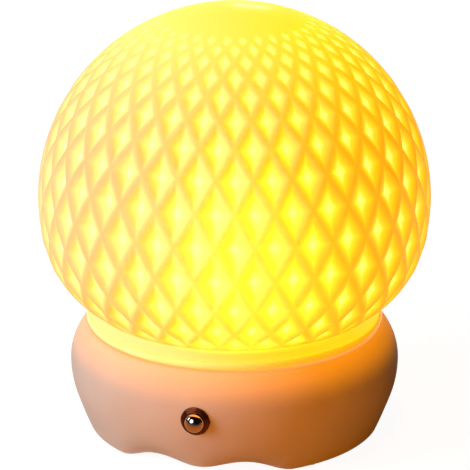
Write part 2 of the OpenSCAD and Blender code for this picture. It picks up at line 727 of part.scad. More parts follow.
// Power
module battery_holder() color("#3c3a38") difference() {
    translate([-tray_l / 2, tray_y - tray_w / 2, plate_top]) cube([tray_l, tray_w, tray_h]);
    translate([-tray_in_l / 2, tray_y - tray_in_w / 2, plate_top + tray_wall])
        cube([tray_in_l, tray_in_w, tray_h]);
    for (s = [-1, 1])
        translate([s * tray_l / 2 - tray_wall, tray_y - tag_w / 2 - fit_gap, cell_z - tag_t / 2 - fit_gap])
            cube([2 * tray_wall, tag_w + 2 * fit_gap, tray_h]);
    for (x = [-1, 1] * tray_screw_x) translate([x, tray_y, plate_top]) {
        translate([0, 0, -eps]) cylinder(r = screw_r + screw_gap, h = tray_wall);
        translate([0, 0, tray_seat_t]) cylinder(r = screw_head_r + screw_gap, h = tray_wall);
    }
}

module battery_cell() color("#4a7a5c") translate([-cell_len / 2, tray_y, cell_z]) rotate([0, 90, 0]) {
    cylinder(r = cell_d / 2, h = cell_len - nipple_h);
    translate([0, 0, cell_len - nipple_h - eps]) cylinder(r = nipple_r, h = nipple_h);
}

module holder_contacts() color("#c9ccd0") for (side = [0, 1]) mirror([side, 0, 0]) {
    translate([tray_in_l / 2 - contact_t, tray_y - tray_in_w / 2 + fit_gap, plate_top + tray_wall + turn_gap])
        cube([contact_t, tray_in_w - 2 * fit_gap, tray_h - tray_wall - turn_gap]);
    translate([cell_len / 2 + turn_gap, tray_y, cell_z]) rotate([0, 90, 0])
        cylinder(r = contact_r, h = contact_bow - turn_gap + eps);
    translate([tray_in_l / 2 - eps, tray_y - tag_w / 2, cell_z - tag_t / 2])
        cube([tray_wall + tag_h, tag_w, tag_t]);
}

module holder_screws() color("#b9bcc0") for (x = [-1, 1] * tray_screw_x) translate([x, tray_y, 0]) {
    head_z = plate_top + tray_seat_t + eps;
    translate([0, 0, tray_screw_z]) cylinder(r = screw_r, h = head_z - tray_screw_z + eps);
    translate([0, 0, head_z]) cylinder(r = screw_head_r, h = tray_head_t);
}

module control_board() color("#2f6b4a") difference() {
    translate([-board_w / 2, board_front, board_z]) cube([board_w, board_l, board_t]);
    for (x = [-1, 1] * standoff_x, y = [standoff_front, standoff_rear])
        translate([x, y, board_z - eps]) cylinder(r = screw_r + screw_gap, h = board_t + 2 * eps);
}

module board_chips() color("#2a2a2c") translate([0, 0, board_top]) {
    translate([-mcu[0] / 2, board_front + mcu_in, 0]) cube(mcu);
    translate([coil_x, board_rear - coil_in, 0]) cube(coil);
    translate([resistor_x, board_rear - resistor_in, 0]) cube(resistor);
    translate([capacitor_x, board_rear - capacitor_in, 0]) cylinder(r = capacitor_r, h = capacitor_h);
}

module board_screws() color("#b9bcc0") for (x = [-1, 1] * standoff_x, y = [standoff_front, standoff_rear])
    translate([x, y, 0]) {
        tail_z = plate_z + blind_floor + screw_end_gap;
        translate([0, 0, tail_z]) cylinder(r = screw_r, h = board_top - tail_z + eps);
        translate([0, 0, board_top]) cylinder(r = screw_head_r, h = screw_head_t);
    }

module usb_socket() color("#c9ccd0") translate([0, usb_mouth - usb_l, usb_z]) difference() {
    stadium(usb_w, usb_h, usb_l);
    translate([0, usb_tail, 0]) stadium(usb_w - 2 * usb_wall, usb_h - 2 * usb_wall, usb_l);
}

module usb_tongue() color("#2a2a2c")
    translate([-tongue[0] / 2, usb_mouth - usb_l + usb_tail, usb_z - tongue[2] / 2]) cube(tongue);

// Leads
module led_leads() color("#c23b2e") for (x = [-1, 1] * lead_x)
    tube(smooth_route(led_route(x), 3), lead_d / 2, 6, [1, 0, 0]);

module switch_leads() color("#e3c24a") for (k = [0, 1])
    tube(smooth_route(switch_route(k), 3), lead_d / 2, 6, [0, 0, 1]);

module battery_leads() color("#30302f") for (s = [-1, 1])
    tube(smooth_route(cell_route(s), 2), lead_d / 2, 6, [0, 0, 1]);

base_shell();
hem_pads();
base_plate();
plate_screws();
lamp_deck();
shade_gasket();
shade_globe();
shade_ring();
led_board();
led_chips();
led_diffuser();
led_screws();
lead_grommet();
switch_barrel();
switch_seal();
switch_washer();
switch_nut();
switch_spring();
switch_insulator();
switch_terminals();
button_dome();
contact_bridge();
battery_holder();
battery_cell();
holder_contacts();
holder_screws();
control_board();
board_chips();
board_screws();
usb_socket();
usb_tongue();
led_leads();
switch_leads();
battery_leads();
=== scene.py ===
# %% [markdown]
# # A globe night lamp
# The lamp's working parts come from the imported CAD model. This script dresses them: it replaces the
# visible shells with fine surfaces worked out from formulas, gives every piece a finish, and lights it.
# Everything is in metres and in the CAD model's own frame, so a piece goes where the drawing says.

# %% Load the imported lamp
import math

import bpy
import numpy as np
from mathutils import Matrix


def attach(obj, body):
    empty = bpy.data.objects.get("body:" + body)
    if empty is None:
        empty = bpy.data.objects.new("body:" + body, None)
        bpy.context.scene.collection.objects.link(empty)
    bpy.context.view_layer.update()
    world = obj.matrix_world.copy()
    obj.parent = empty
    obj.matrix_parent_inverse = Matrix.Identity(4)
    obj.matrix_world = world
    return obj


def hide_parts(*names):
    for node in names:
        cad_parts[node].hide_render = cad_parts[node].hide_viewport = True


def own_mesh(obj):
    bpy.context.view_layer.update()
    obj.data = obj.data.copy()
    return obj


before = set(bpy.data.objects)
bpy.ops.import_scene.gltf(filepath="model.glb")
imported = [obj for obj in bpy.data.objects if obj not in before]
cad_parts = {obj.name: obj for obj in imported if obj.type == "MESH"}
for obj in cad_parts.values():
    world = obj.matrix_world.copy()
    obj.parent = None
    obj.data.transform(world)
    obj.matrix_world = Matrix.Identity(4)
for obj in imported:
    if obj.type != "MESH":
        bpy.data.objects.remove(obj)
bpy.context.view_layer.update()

# %% [markdown]
# ## Sizes
# The drawing is in millimetres, so the same named sizes are used here and turned to metres only when a
# mesh is made. Angles round the lamp are counted from the button, which faces -Y, towards +X.

# %% Sizes shared by several pieces
MM = 0.001
BASE_R, BASE_H, WAIST_Z = 68.2, 44.0, 27.5
SHOULDER_ARC, FLANK_ARC = 23.0, 39.5
SHELL_WALL, HEM_WALL = 2.4, 5.0
PLATE_Z, PLATE_TOP = 8.5, 11.0
PANEL_Y, SWITCH_Z = -67.6, 26.0
BEAD_TOP = 48.0
GLOBE_R, SHADE_WALL, EDGE_Z = 80.0, 2.4, 53.0
BELLY_ARC, BELLY_LAT = 43.0, math.radians(11.0)

RIM_R = BASE_R - SHOULDER_ARC + math.sqrt(SHOULDER_ARC ** 2 - (BASE_H - WAIST_Z) ** 2)
NECK_R, COVE_R = RIM_R - 1.2, RIM_R - 2.2
BELLY_CR = (GLOBE_R - BELLY_ARC) * math.cos(BELLY_LAT)
BELLY_CZ = -(GLOBE_R - BELLY_ARC) * math.sin(BELLY_LAT)
BELLY_END = -math.acos((COVE_R - BELLY_CR) / BELLY_ARC)
GLOBE_Z = EDGE_Z - BELLY_CZ - BELLY_ARC * math.sin(BELLY_END)

# %% [markdown]
# ## Camera
# The photograph was taken with a long lens, a little above the lamp and a little to the right of its
# button. A 180 mm lens on a 36 mm sensor, 960 mm from the middle of the globe, gives the same picture.
# The three axes of the camera are written out as vectors, which is easier to check than three angles.

# %% Camera at the photograph's place
CAMERA_TURN = math.radians(13.0)
CAMERA_TILT = math.radians(19.5)
CAMERA_BACK = 959.86
CAMERA_SHIFT = (0.2, -15.64)

sin_turn, cos_turn = math.sin(CAMERA_TURN), math.cos(CAMERA_TURN)
sin_tilt, cos_tilt = math.sin(CAMERA_TILT), math.cos(CAMERA_TILT)
view_right = np.array([cos_turn, sin_turn, 0.0])
view_ahead = np.array([-sin_turn * cos_tilt, cos_turn * cos_tilt, -sin_tilt])
view_up = np.cross(view_right, view_ahead)
globe_middle = np.array([0.0, 0.0, GLOBE_Z])
camera_place = (globe_middle + CAMERA_SHIFT[0] * view_right + CAMERA_SHIFT[1] * view_up
                - CAMERA_BACK * view_ahead) * MM

camera_data = bpy.data.cameras.new("photo_camera")
camera_data.lens = 180.0
camera_data.sensor_width = 36.0
camera = bpy.data.objects.new("photo_camera", camera_data)
bpy.context.scene.collection.objects.link(camera)
pose = np.eye(4)
pose[:3, 0], pose[:3, 1], pose[:3, 2], pose[:3, 3] = view_right, view_up, -view_ahead, camera_place
camera.matrix_world = Matrix(pose.tolist())
bpy.context.scene.camera = camera
bpy.context.scene.view_settings.view_transform = "Standard"
print("camera at", camera_place.round(3))

# %% [markdown]
# ## Turning a grid of points into a mesh
# Most pieces of this lamp are turned shapes: a profile carried round the axis. Such a surface is a grid
# of points with rows along the profile and columns round the turn. One function joins the neighbours
# with four-sided faces, closes the turn, and puts a single point on the axis where the profile ends there.


# %% Mesh helpers
def ring_faces(first, second):
    """Four-sided faces between two rows of vertex numbers of the same length, closed round the turn."""
    ahead_first = np.roll(first, -1, axis=-1)
    ahead_second = np.roll(second, -1, axis=-1)
    return np.stack([first, ahead_first, ahead_second, second], axis=-1).reshape(-1, 4)


def pole_faces(row, pole, upward):
    """Triangles from a row of vertex numbers to one point on the axis; upward turns them to face out."""
    ahead = np.roll(row, -1)
    tip = np.full_like(row, pole)
    return np.stack([row, ahead, tip] if upward else [ahead, row, tip], axis=-1)


def make_mesh(name, points, faces, attributes=None, sharp_angle=None):
    """An object from an array of points in millimetres and a list of face arrays, shaded smooth."""
    mesh = bpy.data.meshes.new(name)
    mesh.from_pydata((points * MM).tolist(), [], [face for block in faces for face in block.tolist()])
    mesh.shade_smooth()
    if sharp_angle is not None:
        mesh.set_sharp_from_angle(angle=math.radians(sharp_angle))
    for key, values in (attributes or {}).items():
        mesh.attributes.new(key, "FLOAT", "POINT").data.foreach_set("value", np.asarray(values, np.float32))
    mesh.validate()
    piece = bpy.data.objects.new(name, mesh)
    bpy.context.scene.collection.objects.link(piece)
    return piece


def turned(profile, columns, place):
    """Points of a turned shape: place(r, w, angle) puts radius r and axial position w at each angle."""
    angles = np.linspace(0.0, 2.0 * np.pi, columns, endpoint=False)
    r, w = profile[:, :1], profile[:, 1:2]
    return np.stack(np.broadcast_arrays(*place(r, w, angles[None, :])), axis=-1)


def upright(r, z, a):
    """A point at radius r and height z, at angle a from the button towards +X."""
    return r * np.sin(a), -r * np.cos(a), z


def along_button(r, w, a):
    """A point on the button's axis system: w runs inwards from the flat that the bezel sits on, and the
    angle goes round the other way, so that faces still point outwards when w grows."""
    return -r * np.sin(a), PANEL_Y + w, SWITCH_Z - r * np.cos(a)


def rounded(corners, steps):
    """A closed profile with its corners rounded: each corner is (r, w, round). The curve from one tangent
    point to the next is (1-t)^2 A + 2 t (1-t) C + t^2 B, with C the corner and A, B cut off at its round."""
    c = np.array([corner[:2] for corner in corners], float)
    cut = np.array([corner[2] for corner in corners], float)[:, None]
    back = np.roll(c, 1, axis=0) - c
    ahead = np.roll(c, -1, axis=0) - c
    a = c + cut * back / np.linalg.norm(back, axis=1, keepdims=True)
    b = c + cut * ahead / np.linalg.norm(ahead, axis=1, keepdims=True)
    t = np.linspace(0.0, 1.0, steps)[None, :, None]
    curve = (1 - t) ** 2 * a[:, None] + 2 * t * (1 - t) * c[:, None] + t ** 2 * b[:, None]
    curve = curve.reshape(-1, 2)
    apart = np.linalg.norm(curve - np.roll(curve, 1, axis=0), axis=1) > 1e-6
    return curve[apart]


def loop_faces(rows, columns):
    """Faces of a grid whose profile is a closed loop: the last row joins the first."""
    numbers = np.arange(rows * columns).reshape(rows, columns)
    return ring_faces(numbers, np.roll(numbers, -1, axis=0))


print("mesh helpers ready")

# %% [markdown]
# ## Finishes: the two small tools
# Colours are written as sRGB hex values, as a painter's chart gives them, and turned to the linear values
# that the renderer counts in. One function adds a node, sets it up and links it, so that each finish below
# reads as a short list of what it is made of.


# %% Colour and node tools
def linear(hex_text):
    """sRGB hex to linear RGBA: a channel c of 0 to 1 is c/12.92 up to 0.04045, else ((c+0.055)/1.055)^2.4."""
    c = np.array([int(hex_text[i:i + 2], 16) / 255.0 for i in (1, 3, 5)])
    c = np.where(c <= 0.04045, c / 12.92, ((c + 0.055) / 1.055) ** 2.4)
    return (*c.tolist(), 1.0)


def plug(tree, node, inputs):
    """Fill sockets of a node: a value is set on its socket, and another node's socket is linked to it."""
    for key, value in inputs.items():
        if isinstance(value, bpy.types.NodeSocket):
            tree.links.new(value, node.inputs[key])
        else:
            node.inputs[key].default_value = value


def add(tree, kind, settings=None, inputs=None):
    """One node: settings are its own properties, inputs are values for its sockets or sockets to link."""
    node = tree.nodes.new(kind)
    for key, value in (settings or {}).items():
        setattr(node, key, value)
    plug(tree, node, inputs or {})
    return node


def blank(name):
    """A material with nothing in it, and its node tree."""
    material = bpy.data.materials.new(name)
    material.use_nodes = True
    material.node_tree.nodes.clear()
    return material, material.node_tree


def begin(name):
    """A new material, its node tree, its Object coordinates and a Principled shader set as its surface."""
    material, tree = blank(name)
    place = add(tree, "ShaderNodeTexCoord").outputs["Object"]
    shader = add(tree, "ShaderNodeBsdfPrincipled")
    add(tree, "ShaderNodeOutputMaterial", None, {"Surface": shader.outputs["BSDF"]})
    return material, tree, place, shader


print("colour and node tools ready")

# %% [markdown]
# ## The base's shell
# On the real lamp this is one moulding of matt peach ABS: a squat drum whose shoulder rolls in to the
# shade and whose hem runs out into three broad feet, with a small lifted lobe between two arches from each
# foot to the next. It could be sculpted, but its outline is two arcs, and the hem is made of cosine waves
# that fade upwards, so a formula draws it exactly.


# %% Base shell surface
def wall_radius(z):
    """Two arcs that meet at the waist: R - A + sqrt(A^2 - (z - waist)^2), with A above or below it."""
    arc = np.where(z > WAIST_Z, SHOULDER_ARC, FLANK_ARC)
    return BASE_R - arc + np.sqrt(arc ** 2 - (z - WAIST_Z) ** 2)


FEET, LOBE_HALF = 3, math.radians(36.0)
LOBE_FLARE, FOOT_FLARE, FLARE_H = 2.8, 3.4, 15.0
ARCH_H, LOBE_LIFT, PAD_T = 3.8, 2.8, 0.6


def lobe_share(a):
    """0 in the middle of a lobe to 1 on a foot: the angle to the nearest lobe over half of a lobe's turn."""
    pitch = 2.0 * np.pi / FEET
    return np.minimum(1.0, np.abs((a + pitch / 2.0) % pitch - pitch / 2.0) / LOBE_HALF)


def fade(z):
    """How much of the flare is left at height z: (1 - z / 15)^2, and none above 15 mm."""
    return np.maximum(0.0, 1.0 - z / FLARE_H) ** 2


def skin_radius(z, a):
    """The wall's radius plus the hem's wave: lobe flare times cos(360 w), with w the lobe share, and towards
    a foot the rest of its own flare, eased in by 3 t^2 - 2 t^3."""
    w = lobe_share(a)
    t = np.maximum(0.0, 2.0 * w - 1.0)
    wave = LOBE_FLARE * np.cos(2.0 * np.pi * w) + (FOOT_FLARE - LOBE_FLARE) * t * t * (3.0 - 2.0 * t)
    return wall_radius(z) + wave * fade(z)


def hem_height(a):
    """The hem's lower edge: the pad's thickness, an arch of 3.8 (1 - cos 360 w) / 2, and the lobe lifted by
    2.8 (1 + cos 180 w) / 2."""
    w = lobe_share(a)
    return (PAD_T + ARCH_H * (1.0 - np.cos(2.0 * np.pi * w)) / 2.0
            + LOBE_LIFT * (1.0 + np.cos(np.pi * w)) / 2.0)


print("hem runs from", round(float(hem_height(math.pi / FEET)), 2), "mm on a foot to",
      round(float(hem_height(LOBE_HALF / 2.0)), 2), "mm in an arch")

# %% [markdown]
# The shell is a closed wall, so its profile goes all the way round: up the outside, over the rim with its
# rabbet for the gasket, down the inside to the ledge that the bottom cover rests on, and back under the hem.
# The hem's edge moves up and down round the lamp, so every row is worked out for all angles at once.

# %% Base shell mesh
HEM_ROUND, RIM_ROUND = 0.8, 0.35
RABBET_IN, RABBET_Z, BORE_IN, BORE_Z = 2.4, 42.4, 5.0, 40.0
INNER_TOP, LEDGE_T, LEDGE_IN = 37.5, 2.5, 4.3
SHELL_COLUMNS, WALL_ROWS, WALL_CROWD, INNER_ROWS = 420, 64, 1.25, 8
RIM_STEPS, HEM_STEPS = 6, 5


def shell_grid(columns):
    """Rows of the shell's closed profile: outside upwards, over the rim, down the inside, under the hem."""
    a = np.linspace(0.0, 2.0 * np.pi, columns, endpoint=False)[None, :]
    low = hem_height(a) + HEM_ROUND
    t = (np.linspace(0.0, 1.0, WALL_ROWS) ** WALL_CROWD)[:, None]
    z = low + (BASE_H - RIM_ROUND - low) * t
    outside = (skin_radius(z, a), z)
    turn = np.linspace(0.0, np.pi / 2.0, RIM_STEPS)[1:, None]
    over = (RIM_R - RIM_ROUND * (1.0 - np.cos(turn)) + 0 * a,
            BASE_H - RIM_ROUND * (1.0 - np.sin(turn)) + 0 * a)
    rabbet_r, bore_r = RIM_R - RABBET_IN, RIM_R - BORE_IN
    steps = np.array([[rabbet_r, BASE_H], [rabbet_r, RABBET_Z], [bore_r, RABBET_Z], [bore_r, BORE_Z]])
    rim = (steps[:, :1] + 0 * a, steps[:, 1:] + 0 * a)
    ledge_top = PLATE_TOP + LEDGE_T
    z = np.linspace(INNER_TOP, ledge_top, INNER_ROWS)[:, None] + 0 * a
    inside = (skin_radius(z, a) - SHELL_WALL, z)
    ledge_r = wall_radius(PLATE_Z) - LOBE_FLARE * fade(PLATE_Z) - HEM_WALL - LEDGE_IN
    foot_r = skin_radius(low, a)
    over_plate = skin_radius(PLATE_TOP, a) - SHELL_WALL
    ledge = (np.concatenate([0 * a + ledge_r, 0 * a + ledge_r, over_plate, foot_r - HEM_WALL]),
             np.concatenate([0 * a + ledge_top, 0 * a + PLATE_TOP, 0 * a + PLATE_TOP, low]))
    turn = np.linspace(0.0, np.pi / 2.0, HEM_STEPS)[1:, None]
    inner_round = (foot_r - HEM_WALL + HEM_ROUND * (1.0 - np.cos(turn)), low - HEM_ROUND * np.sin(turn))
    turn = np.linspace(np.pi / 2.0, 0.0, HEM_STEPS)[:-1, None]
    outer_round = (foot_r - HEM_ROUND * (1.0 - np.cos(turn)), low - HEM_ROUND * np.sin(turn))
    parts = (outside, over, rim, inside, ledge, inner_round, outer_round)
    r = np.concatenate([part[0] for part in parts])
    z = np.concatenate([part[1] for part in parts])
    return np.stack(upright(r, z, a), axis=-1)


grid = shell_grid(SHELL_COLUMNS)
base_shell = make_mesh("lobed_shell", grid.reshape(-1, 3), [loop_faces(*grid.shape[:2])[:, ::-1]])
print("lobed shell:", len(base_shell.data.polygons), "faces")

# %% [markdown]
# ## Openings in the shell
# The button needs a flat seat and a round hole, and the charging plug a long round-ended window behind.
# Cutting them with a Boolean keeps the shell's grid simple. The cutters are closed turned or extruded
# shapes, and they are deleted once the cut is part of the shell's mesh.


# %% Cut the openings
def stadium_outline(width, height, count):
    """A long round-ended outline in x and z: half circles of radius height / 2 at the two ends of a straight
    of width - height."""
    a = np.linspace(0.0, 2.0 * np.pi, count, endpoint=False)
    x = height / 2.0 * np.cos(a) + np.sign(np.cos(a)) * (width - height) / 2.0
    return x, height / 2.0 * np.sin(a)


def closed_prism(name, rows):
    """A closed shape from rows of outline points: sides between the rows and a flat face at either end."""
    count = rows.shape[1]
    numbers = np.arange(rows.shape[0] * count).reshape(rows.shape[0], count)
    sides = ring_faces(numbers[:-1], numbers[1:])
    return make_mesh(name, rows.reshape(-1, 3), [sides, numbers[:1, ::-1], numbers[-1:]])


def cut(piece, cutter):
    """Take the cutter's space out of the piece and delete the cutter."""
    boolean = piece.modifiers.new("cut", "BOOLEAN")
    boolean.operation = "DIFFERENCE"
    boolean.solver = "EXACT"
    boolean.object = cutter
    shaped = bpy.data.meshes.new_from_object(piece.evaluated_get(bpy.context.evaluated_depsgraph_get()))
    piece.modifiers.clear()
    old, piece.data = piece.data, shaped
    bpy.data.meshes.remove(old)
    bpy.data.objects.remove(cutter)


CUT_REACH, CUT_COLUMNS, SHARP_EDGE = 12.0, 96, 38.0
SPOT_R, HOLE_R = 6.05, 5.1
seat = np.array([[SPOT_R, -CUT_REACH], [SPOT_R, 0.0], [HOLE_R, 0.0], [HOLE_R, CUT_REACH]])
cut(base_shell, closed_prism("button_cutter", turned(seat, CUT_COLUMNS, along_button)))

USB_Z, USB_BACK = 18.23, 0.9
USB_MOUTH = wall_radius(USB_Z) - SHELL_WALL - USB_BACK
WINDOW_W, WINDOW_H, WINDOW_IN = 12.4, 6.6, 1.6
window_x, window_z = stadium_outline(WINDOW_W, WINDOW_H, CUT_COLUMNS)
window_y = np.array([[USB_MOUTH + CUT_REACH], [USB_MOUTH - WINDOW_IN]])
window = np.stack(np.broadcast_arrays(window_x[None, :], window_y, USB_Z + window_z[None, :]), axis=-1)
cut(base_shell, closed_prism("window_cutter", window))
base_shell.data.name = "lobed_shell"
base_shell.data.shade_smooth()
base_shell.data.set_sharp_from_angle(angle=math.radians(SHARP_EDGE))
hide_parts("base_shell")
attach(base_shell, "base")
print("shell with its openings:", len(base_shell.data.polygons), "faces")

# %% [markdown]
# ## The globe
# The shade is an opal moulding: a globe that draws in to a neck, covered with sunk diamonds. Each diamond is
# a shallow upside-down pyramid of four facets, and the ribs are what is left between them. Rows are spaced so
# that a step up the outline is always the same share of the radius there, which keeps the diamonds in shape
# up to the cap. Depth is worked out from two slanting coordinates s and t, whose whole numbers are the
# diamonds' middles and whose halves are the ribs.

# %% Outline of the globe
CELLS_ROUND, CELL_ROWS, CELL_PITCH, EDGE_SHARE = 32, 14, 0.17, 0.48
CELL_PHASE, CELL_DEPTH = math.radians(1.75), 2.7
CELL_SPAN, BELLY_STEPS = (CELL_ROWS + EDGE_SHARE) * CELL_PITCH, 600

belly_angles = np.linspace(BELLY_END, -BELLY_LAT, BELLY_STEPS)
belly_rate = BELLY_ARC / (BELLY_CR + BELLY_ARC * np.cos(belly_angles))
belly_q = np.concatenate([[0.0], np.cumsum((belly_rate[1:] + belly_rate[:-1]) / 2 * np.diff(belly_angles))])
BELLY_SPAN = belly_q[-1]


def outline(q):
    """Radius, height and facing angle at a share q above the pattern's edge. On the belly the angle is read
    from the summed steps d(angle) = dq r / arc; on the sphere it is 2 atan(exp(start + q - span)) - 90."""
    on_belly = q < BELLY_SPAN
    belly = np.interp(q, belly_q, belly_angles)
    start = math.log(math.tan(math.pi / 4.0 - BELLY_LAT / 2.0))
    sphere = 2.0 * np.arctan(np.exp(start + q - BELLY_SPAN)) - math.pi / 2.0
    facing = np.where(on_belly, belly, sphere)
    arc = np.where(on_belly, BELLY_ARC, GLOBE_R)
    r = np.where(on_belly, BELLY_CR, 0.0) + arc * np.cos(facing)
    z = GLOBE_Z + np.where(on_belly, BELLY_CZ, 0.0) + arc * np.sin(facing)
    return r, z, facing


print("belly spans", round(BELLY_SPAN, 4), "of the pattern's", round(CELL_SPAN, 4))

# %% [markdown]
# Each diamond is worked out where it stands: how far a place is from the middle of its diamond says how deep
# the moulding is sunk there. The same numbers later tint the opal, so shape and glow can't drift apart.
# Towards the cap the diamonds get smaller and shallower and go over into a smooth skin, as on the real globe.

# %% Depth of the diamonds
RIB_ROUND, EDGE_FADE, CAP_FROM = 0.3, 0.4, 5.5
SHRINK_FROM, SHRINK_ROWS, SHRINK_BY = 7.0, 6.0, 0.25
STAR_BODY, STAR_WIDTH = 0.4, 0.5


def slant(row, a):
    """How far a place is from the middle of its diamond along the two slanting coordinates, and the
    diamond's row. With column number j and row number i, s = (j + i) / 2 and t = (j - i) / 2, and the two
    distances are 2 |s - whole| and 2 |t - whole|."""
    column = (a - CELL_PHASE) / (math.pi / CELLS_ROUND)
    s, t = (column + row) / 2.0, (column - row) / 2.0
    s_cell, t_cell = np.rint(s), np.rint(t)
    return 2.0 * np.abs(s - s_cell), 2.0 * np.abs(t - t_cell), s_cell - t_cell


def cell_profile(row, a):
    """How deep the pattern is, 0 on a rib to 1 in the middle of a diamond, and how much it belongs to the
    star in the middle. The way from the middle to a rib's middle is w, the larger of the two slanting
    distances, and the depth falls evenly over it, but for the last share c, the rib's round, where it is
    (1 - w)^2 / 2c. The star follows the diamond's two diagonals, where both distances are alike."""
    s_away, t_away, cell_row = slant(row, a)
    has_cell = (cell_row > -0.5) & (cell_row < CELL_ROWS - 0.5)
    edge = np.clip((row + EDGE_SHARE) / EDGE_FADE, 0.0, 1.0)
    reach = 1.0 - SHRINK_BY * np.clip((cell_row - SHRINK_FROM) / SHRINK_ROWS, 0.0, 1.0)
    left = np.clip(1.0 - np.maximum(s_away, t_away) / reach, 0.0, 1.0)
    slope = np.where(left < RIB_ROUND, left ** 2 / (2.0 * RIB_ROUND), left - RIB_ROUND / 2.0)
    deep = has_cell * edge * slope / (1.0 - RIB_ROUND / 2.0)
    # The star: a pale body in the middle, where the wall is thinnest, and four rays along the diagonals,
    # which are a painted highlight of the creases.
    ray = np.clip(1.0 - np.abs(s_away - t_away) / STAR_WIDTH, 0.0, 1.0)
    star = np.clip(2.0 * deep - 1.0, 0.0, 1.0) * (STAR_BODY + (1.0 - STAR_BODY) * ray)
    return deep, star


def cap_rise(row):
    """How far a row has gone over from the lattice to the plain cap: 0 below row 5.5 to 1 at the last row,
    eased by 3 t^2 - 2 t^3."""
    t = np.clip((row - CAP_FROM) / (CELL_ROWS - CAP_FROM), 0.0, 1.0)
    return t * t * (3.0 - 2.0 * t)


rib_depth, _ = cell_profile(np.array([0.0]), np.array([CELL_PHASE + math.pi / CELLS_ROUND]))
middle_depth, _ = cell_profile(np.array([0.0]), np.array([CELL_PHASE]))
print("a diamond sinks by", round(CELL_DEPTH * middle_depth[0], 3), "mm in its middle and by",
      round(CELL_DEPTH * rib_depth[0], 3), "mm where ribs cross")

# %% [markdown]
# The outside is one grid: a plain cove above the bead, the diamonds, and the cap. Its gaps are split into
# triangles along the diamonds' own edges, because a split across an edge would show as a saw-tooth.

# %% Outside of the globe
STEPS_PER_CELL, ROWS_BELOW, COVE_ROWS, CAP_RINGS = 16, 3, 9, 18
GLOBE_COLUMNS = CELLS_ROUND * STEPS_PER_CELL
CAP_SHARE, COVE_SHARE = 0.76, 0.50
CAP_FLATTENS, CAP_EVENS, CAP_PALES = 0.8, 0.4, 0.8


def globe_outside():
    """The points of the cove, the diamond rows and the cap. With them go the share of light at each point,
    how much of a star it is, and for each gap between two rows whether the diamond's edge rises there."""
    a = np.linspace(0.0, 2.0 * np.pi, GLOBE_COLUMNS, endpoint=False)[None, :] + CELL_PHASE
    t = np.linspace(0.0, 1.0, COVE_ROWS)[:-1, None]
    cove_r = COVE_R + (NECK_R - COVE_R) * (1.0 - t) ** 2 + 0 * a
    cove_z = BEAD_TOP + (EDGE_Z - BEAD_TOP) * t + 0 * a
    half = STEPS_PER_CELL // 2
    rows = np.concatenate([[-EDGE_SHARE], np.arange(-ROWS_BELOW, CELL_ROWS * half + 1) / half])[:, None]
    r, z, facing = outline((rows + EDGE_SHARE) * CELL_PITCH)
    deep, star = cell_profile(rows, a)
    rise = cap_rise(rows)
    sink = CELL_DEPTH * r / GLOBE_R * deep * (1.0 - CAP_FLATTENS * rise)
    cell_r, cell_z = r - sink * np.cos(facing), z - sink * np.sin(facing)
    cap = np.linspace(facing[-1, 0], math.pi / 2.0, CAP_RINGS)[1:-1, None]
    cap_r, cap_z = GLOBE_R * np.cos(cap) + 0 * a, GLOBE_Z + GLOBE_R * np.sin(cap) + 0 * a
    r = np.concatenate([cove_r, cell_r, cap_r])
    z = np.concatenate([cove_z, cell_z, cap_z])
    share = np.concatenate([0 * cove_r + COVE_SHARE, deep + rise * (CAP_SHARE - CAP_EVENS * deep),
                            0 * cap_r + CAP_SHARE])
    pale = np.concatenate([0 * cove_r, star + rise * (CAP_PALES * deep - star), 0 * cap_r])
    above = (rows[:-1] + rows[1:]) / 2.0
    s_away, t_away, _ = slant(above, a + math.pi / GLOBE_COLUMNS)
    plain = np.ones(GLOBE_COLUMNS, bool)
    rising = np.concatenate([[plain] * len(t), t_away > s_away, [plain] * len(cap)])
    return np.stack(upright(r, z, a), axis=-1), share, pale, rising


def facet_faces(lower, upper, rising):
    """Two triangles for every gap between rows, split along the diamond's own edge: from the lower left to
    the upper right where it is rising, and the other way where it isn't. So every facet has a clean edge."""
    a, b = lower, np.roll(lower, -1, axis=-1)
    c, d = np.roll(upper, -1, axis=-1), upper
    turn = rising[..., None]
    first = np.where(turn, np.stack([a, b, c], axis=-1), np.stack([a, b, d], axis=-1))
    second = np.where(turn, np.stack([a, c, d], axis=-1), np.stack([b, c, d], axis=-1))
    return np.concatenate([first.reshape(-1, 3), second.reshape(-1, 3)])


outside, share, pale, rising = globe_outside()
print("outside of the globe:", outside.shape[0], "rows of", GLOBE_COLUMNS, "points")

# %% [markdown]
# A moulding has a wall, and light that goes through it needs both sides. The inside is smooth and plain, so a
# quarter of the columns is enough, and a fan of triangles joins the two edges where the globe rests on its
# ring.

# %% Inside of the globe, and the whole of it
INNER_COLUMNS = GLOBE_COLUMNS // 4
INNER_INSET, INNER_LAT, NECK_EASE = 3.9, math.radians(84.0), 0.12
INNER_CAP_ROWS, INNER_BELLY_ROWS = 26, 12


def globe_inside():
    """The smooth inner wall, 3.9 mm in from the ribs, from under the cap down to the neck."""
    a = np.linspace(0.0, 2.0 * np.pi, INNER_COLUMNS, endpoint=False)[None, :] + CELL_PHASE
    lat = np.linspace(INNER_LAT, -BELLY_LAT, INNER_CAP_ROWS)
    belly = np.linspace(-BELLY_LAT, BELLY_END + NECK_EASE, INNER_BELLY_ROWS)[1:]
    inner, arc = GLOBE_R - INNER_INSET, BELLY_ARC - INNER_INSET
    neck_r = COVE_R - SHADE_WALL
    r = np.concatenate([inner * np.cos(lat), BELLY_CR + arc * np.cos(belly), [neck_r, neck_r]])
    z = np.concatenate([inner * np.sin(lat) + GLOBE_Z, GLOBE_Z + BELLY_CZ + arc * np.sin(belly),
                        [EDGE_Z, BEAD_TOP]])
    return np.stack(np.broadcast_arrays(*upright(r[:, None], z[:, None], a)), axis=-1)


